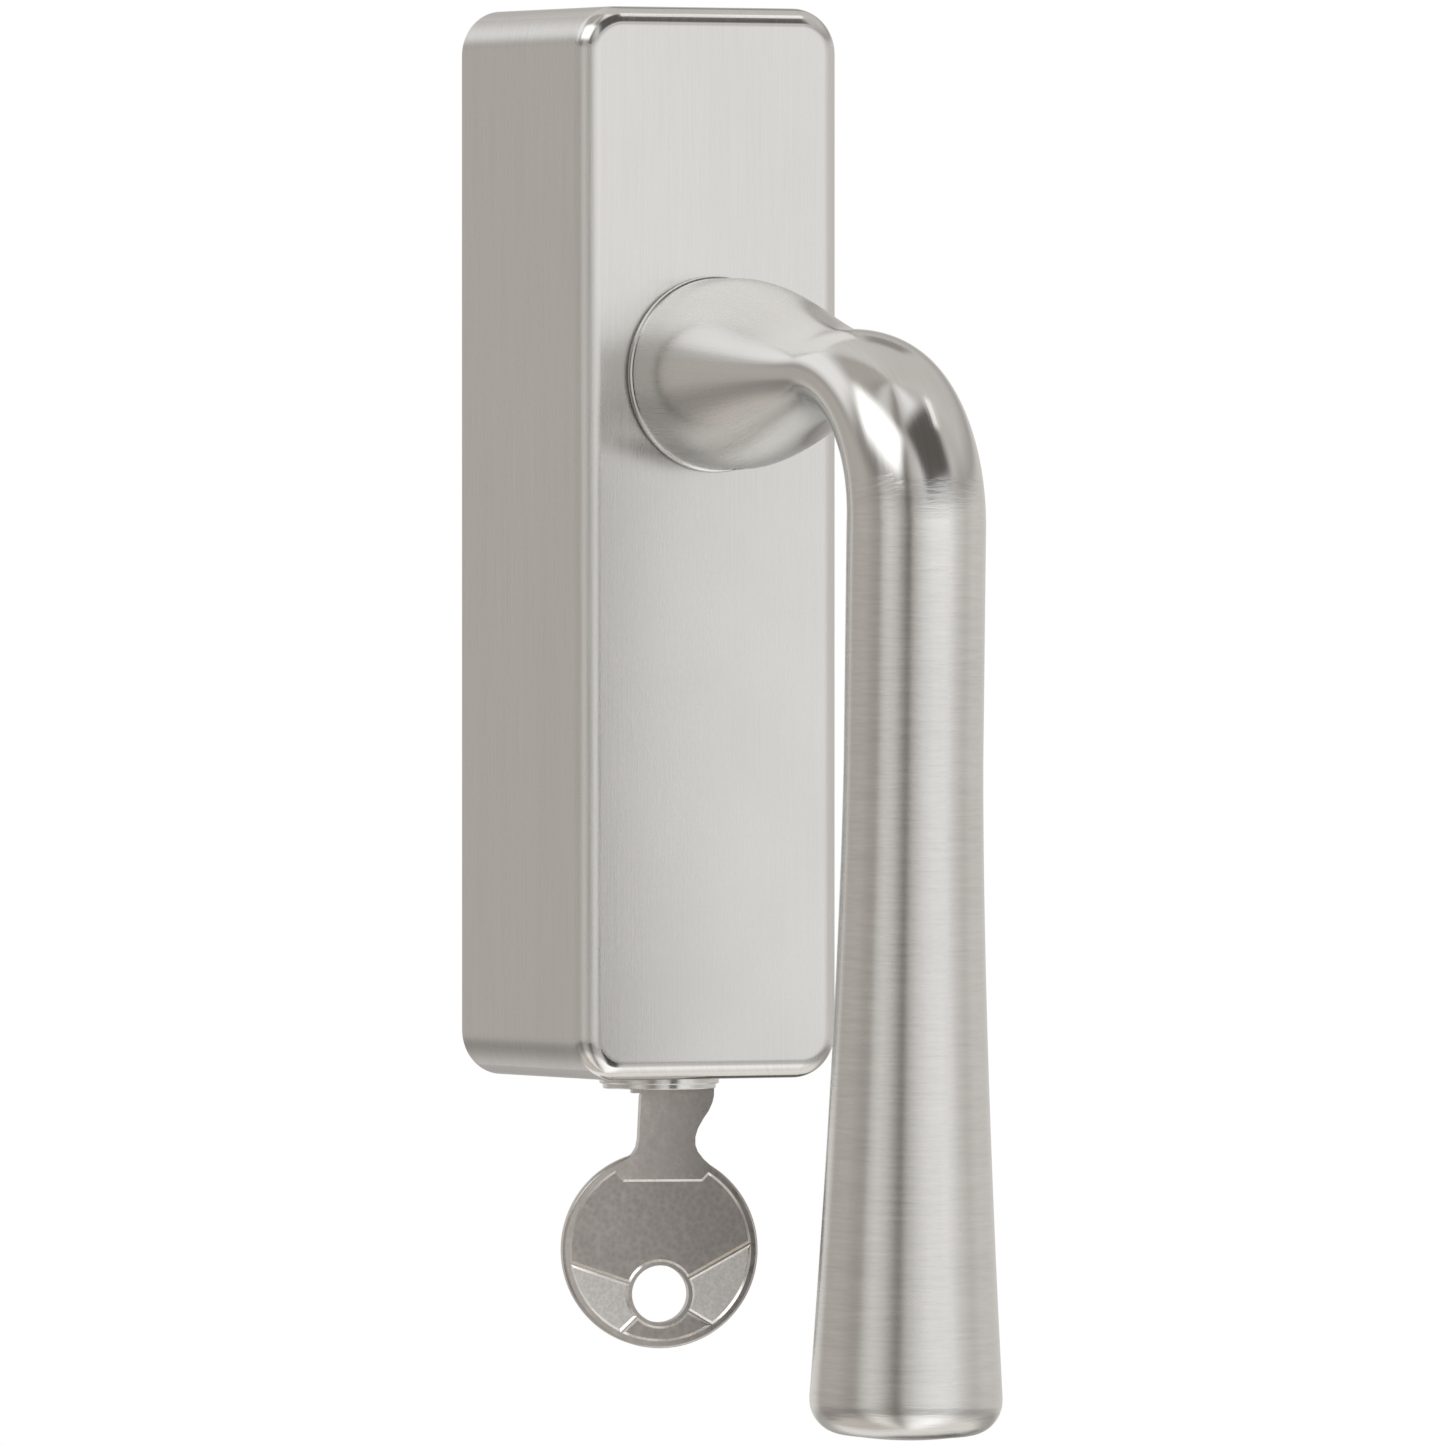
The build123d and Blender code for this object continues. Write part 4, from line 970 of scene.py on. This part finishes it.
def studio_world():
    """White background, and soft walls of light round the object for reflections to pick up."""
    world = bpy.data.worlds.new("Studio")
    bpy.context.scene.world = world
    world.use_nodes = True
    tree = world.node_tree
    tree.nodes.clear()
    link = tree.links.new
    out = place(tree, "ShaderNodeOutputWorld", 1100, 0)
    mix = place(tree, "ShaderNodeMixShader", 900, 0)
    path = place(tree, "ShaderNodeLightPath", 600, 300)
    backdrop = place(tree, "ShaderNodeBackground", 600, 100, {"Color": (1, 1, 1, 1)})
    walls = place(tree, "ShaderNodeBackground", 600, -100)
    where = place(tree, "ShaderNodeTexCoord", -900, 0)
    split = place(tree, "ShaderNodeSeparateXYZ", -700, 0)
    toward = place(tree, "ShaderNodeMath", -540, 120, {1: -1.0}, operation="MULTIPLY")
    heading = place(tree, "ShaderNodeMath", -380, 120, operation="ARCTAN2")
    share = place(tree, "ShaderNodeMapRange", -220, 120, {"From Min": -pi, "From Max": pi})
    round_ramp = place(tree, "ShaderNodeValToRGB", -40, 120)
    height = place(tree, "ShaderNodeMapRange", -220, -220, {"From Min": -1.0, "From Max": 1.0})
    up_ramp = place(tree, "ShaderNodeValToRGB", -40, -220)
    both = place(tree, "ShaderNodeMix", 240, -100, {"Factor": 1.0}, data_type="RGBA", blend_type="MULTIPLY",
                 clamp_result=False)
    link(where.outputs["Generated"], split.inputs[0])
    link(split.outputs["Y"], toward.inputs[0])
    link(split.outputs["X"], heading.inputs[0])
    link(toward.outputs[0], heading.inputs[1])
    link(heading.outputs[0], share.inputs["Value"])
    link(share.outputs["Result"], round_ramp.inputs["Fac"])
    link(split.outputs["Z"], height.inputs["Value"])
    link(height.outputs["Result"], up_ramp.inputs["Fac"])
    link(round_ramp.outputs["Color"], both.inputs["A"])
    link(up_ramp.outputs["Color"], both.inputs["B"])
    fill_ramp(round_ramp.color_ramp, [((heading + 180) / 360, light) for heading, light in WALL_LIGHT])
    fill_ramp(up_ramp.color_ramp, [((sin(radians(up)) + 1) / 2, light) for up, light in HEIGHT_LIGHT], False)
    depth_masks = {}
    for seen, test in (("first", "LESS_THAN"), ("later", "GREATER_THAN")):
        bounce = place(tree, "ShaderNodeMath", -100, 500, {1: LATER_DEPTH}, operation=test)
        link(path.outputs["Ray Depth"], bounce.inputs[0])
        depth_masks[seen] = bounce.outputs[0]
    lit = both.outputs["Result"]
    for row, patch in enumerate(LIGHT_PATCHES):
        lit = light_patch(tree, where.outputs["Generated"], depth_masks, lit, patch, row)
    link(lit, walls.inputs["Color"])
    link(path.outputs["Is Camera Ray"], mix.inputs["Fac"])
    link(walls.outputs[0], mix.inputs[1])
    link(backdrop.outputs[0], mix.inputs[2])
    link(mix.outputs[0], out.inputs["Surface"])


class WINDOWHANDLE_OT_stage(bpy.types.Operator):
    """Make the studio: walls of light, a pale floor and the camera"""
    bl_idname = "window_handle.stage"
    bl_label = "Studio"

    def execute(self, context):
        studio_world()
        low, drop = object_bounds()[0], 0.038
        floor_bm = bmesh.new()
        bmesh.ops.create_circle(
            floor_bm, cap_ends=True, segments=128, radius=0.5, matrix=Matrix.Translation((0, 0, low[2] - drop)))
        floor = object_from(floor_bm, "floor", (moulded_plastic("pale floor", (0.86, 0.86, 0.85)),))
        floor.visible_glossy = False
        floor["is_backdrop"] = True
        light = bpy.data.lights.new("overhead softbox", "AREA")
        light.shape = "DISK"
        light.size = 0.9
        light.energy = 5.0
        lamp = bpy.data.objects.new("overhead softbox", light)
        lamp.location = (0.35, -0.5, 1.1)
        lamp.rotation_euler = (Vector(lamp.location)).to_track_quat("Z", "Y").to_euler()
        lamp.visible_camera = False
        lamp.visible_glossy = False
        context.scene.collection.objects.link(lamp)
        self.aim_camera(context)
        context.scene.view_settings.view_transform = "Standard"
        return {"FINISHED"}

    def aim_camera(self, context):
        azimuth, elevation, distance = radians(-28.0), radians(0.7), 2.3
        width, middle_z, aside, sensor = 0.17515, -42.2 * MM, 1.15 * MM, 36.0
        right = Vector((cos(azimuth), sin(azimuth), 0))
        target = Vector((0, FRONT_Y, middle_z)) + right * aside
        back = Vector((sin(azimuth) * cos(elevation), -cos(azimuth) * cos(elevation), sin(elevation)))
        data = bpy.data.cameras.new("camera")
        data.sensor_width = sensor
        data.lens = sensor * distance / width
        data.clip_end = 20.0
        camera = bpy.data.objects.new("camera", data)
        camera.location = target + back * distance
        camera.rotation_euler = back.to_track_quat("Z", "Y").to_euler()
        context.scene.collection.objects.link(camera)
        context.scene.camera = camera


class WINDOWHANDLE_PT_panel(bpy.types.Panel):
    """Lists the sizes, the finishes and the steps that make the pieces"""
    bl_idname = "WINDOWHANDLE_PT_panel"
    bl_label = "Lockable Window Handle"
    bl_space_type = "VIEW_3D"
    bl_region_type = "UI"
    bl_category = "Window Handle"

    def draw(self, context):
        for group in ("casing_sizes", "handle_sizes", "key_sizes", "finishes"):
            box = self.layout.box()
            settings = getattr(context.scene, group)
            for name in settings.__annotations__:
                box.prop(settings, name)
        for operator in OPERATORS:
            self.layout.operator(operator.bl_idname)


GROUPS = {
    "casing_sizes": CasingSizes, "handle_sizes": HandleSizes, "key_sizes": KeySizes, "finishes": Finishes,
}
OPERATORS = (
    WINDOWHANDLE_OT_casing, WINDOWHANDLE_OT_handle, WINDOWHANDLE_OT_collar, WINDOWHANDLE_OT_key,
    WINDOWHANDLE_OT_screws, WINDOWHANDLE_OT_works, WINDOWHANDLE_OT_stage,
)


def register():
    for name, group in GROUPS.items():
        bpy.utils.register_class(group)
        setattr(bpy.types.Scene, name, bpy.props.PointerProperty(type=group))
    for operator in OPERATORS:
        bpy.utils.register_class(operator)
    bpy.utils.register_class(WINDOWHANDLE_PT_panel)


def unregister():
    bpy.utils.unregister_class(WINDOWHANDLE_PT_panel)
    for operator in reversed(OPERATORS):
        bpy.utils.unregister_class(operator)
    for name, group in GROUPS.items():
        delattr(bpy.types.Scene, name)
        bpy.utils.unregister_class(group)


def main():
    register()
    bpy.ops.window_handle.casing()
    bpy.ops.window_handle.handle()
    bpy.ops.window_handle.collar()
    bpy.ops.window_handle.key()
    bpy.ops.window_handle.screws()
    bpy.ops.window_handle.works()
    bpy.ops.window_handle.stage()


if __name__ == "__main__":
    main()
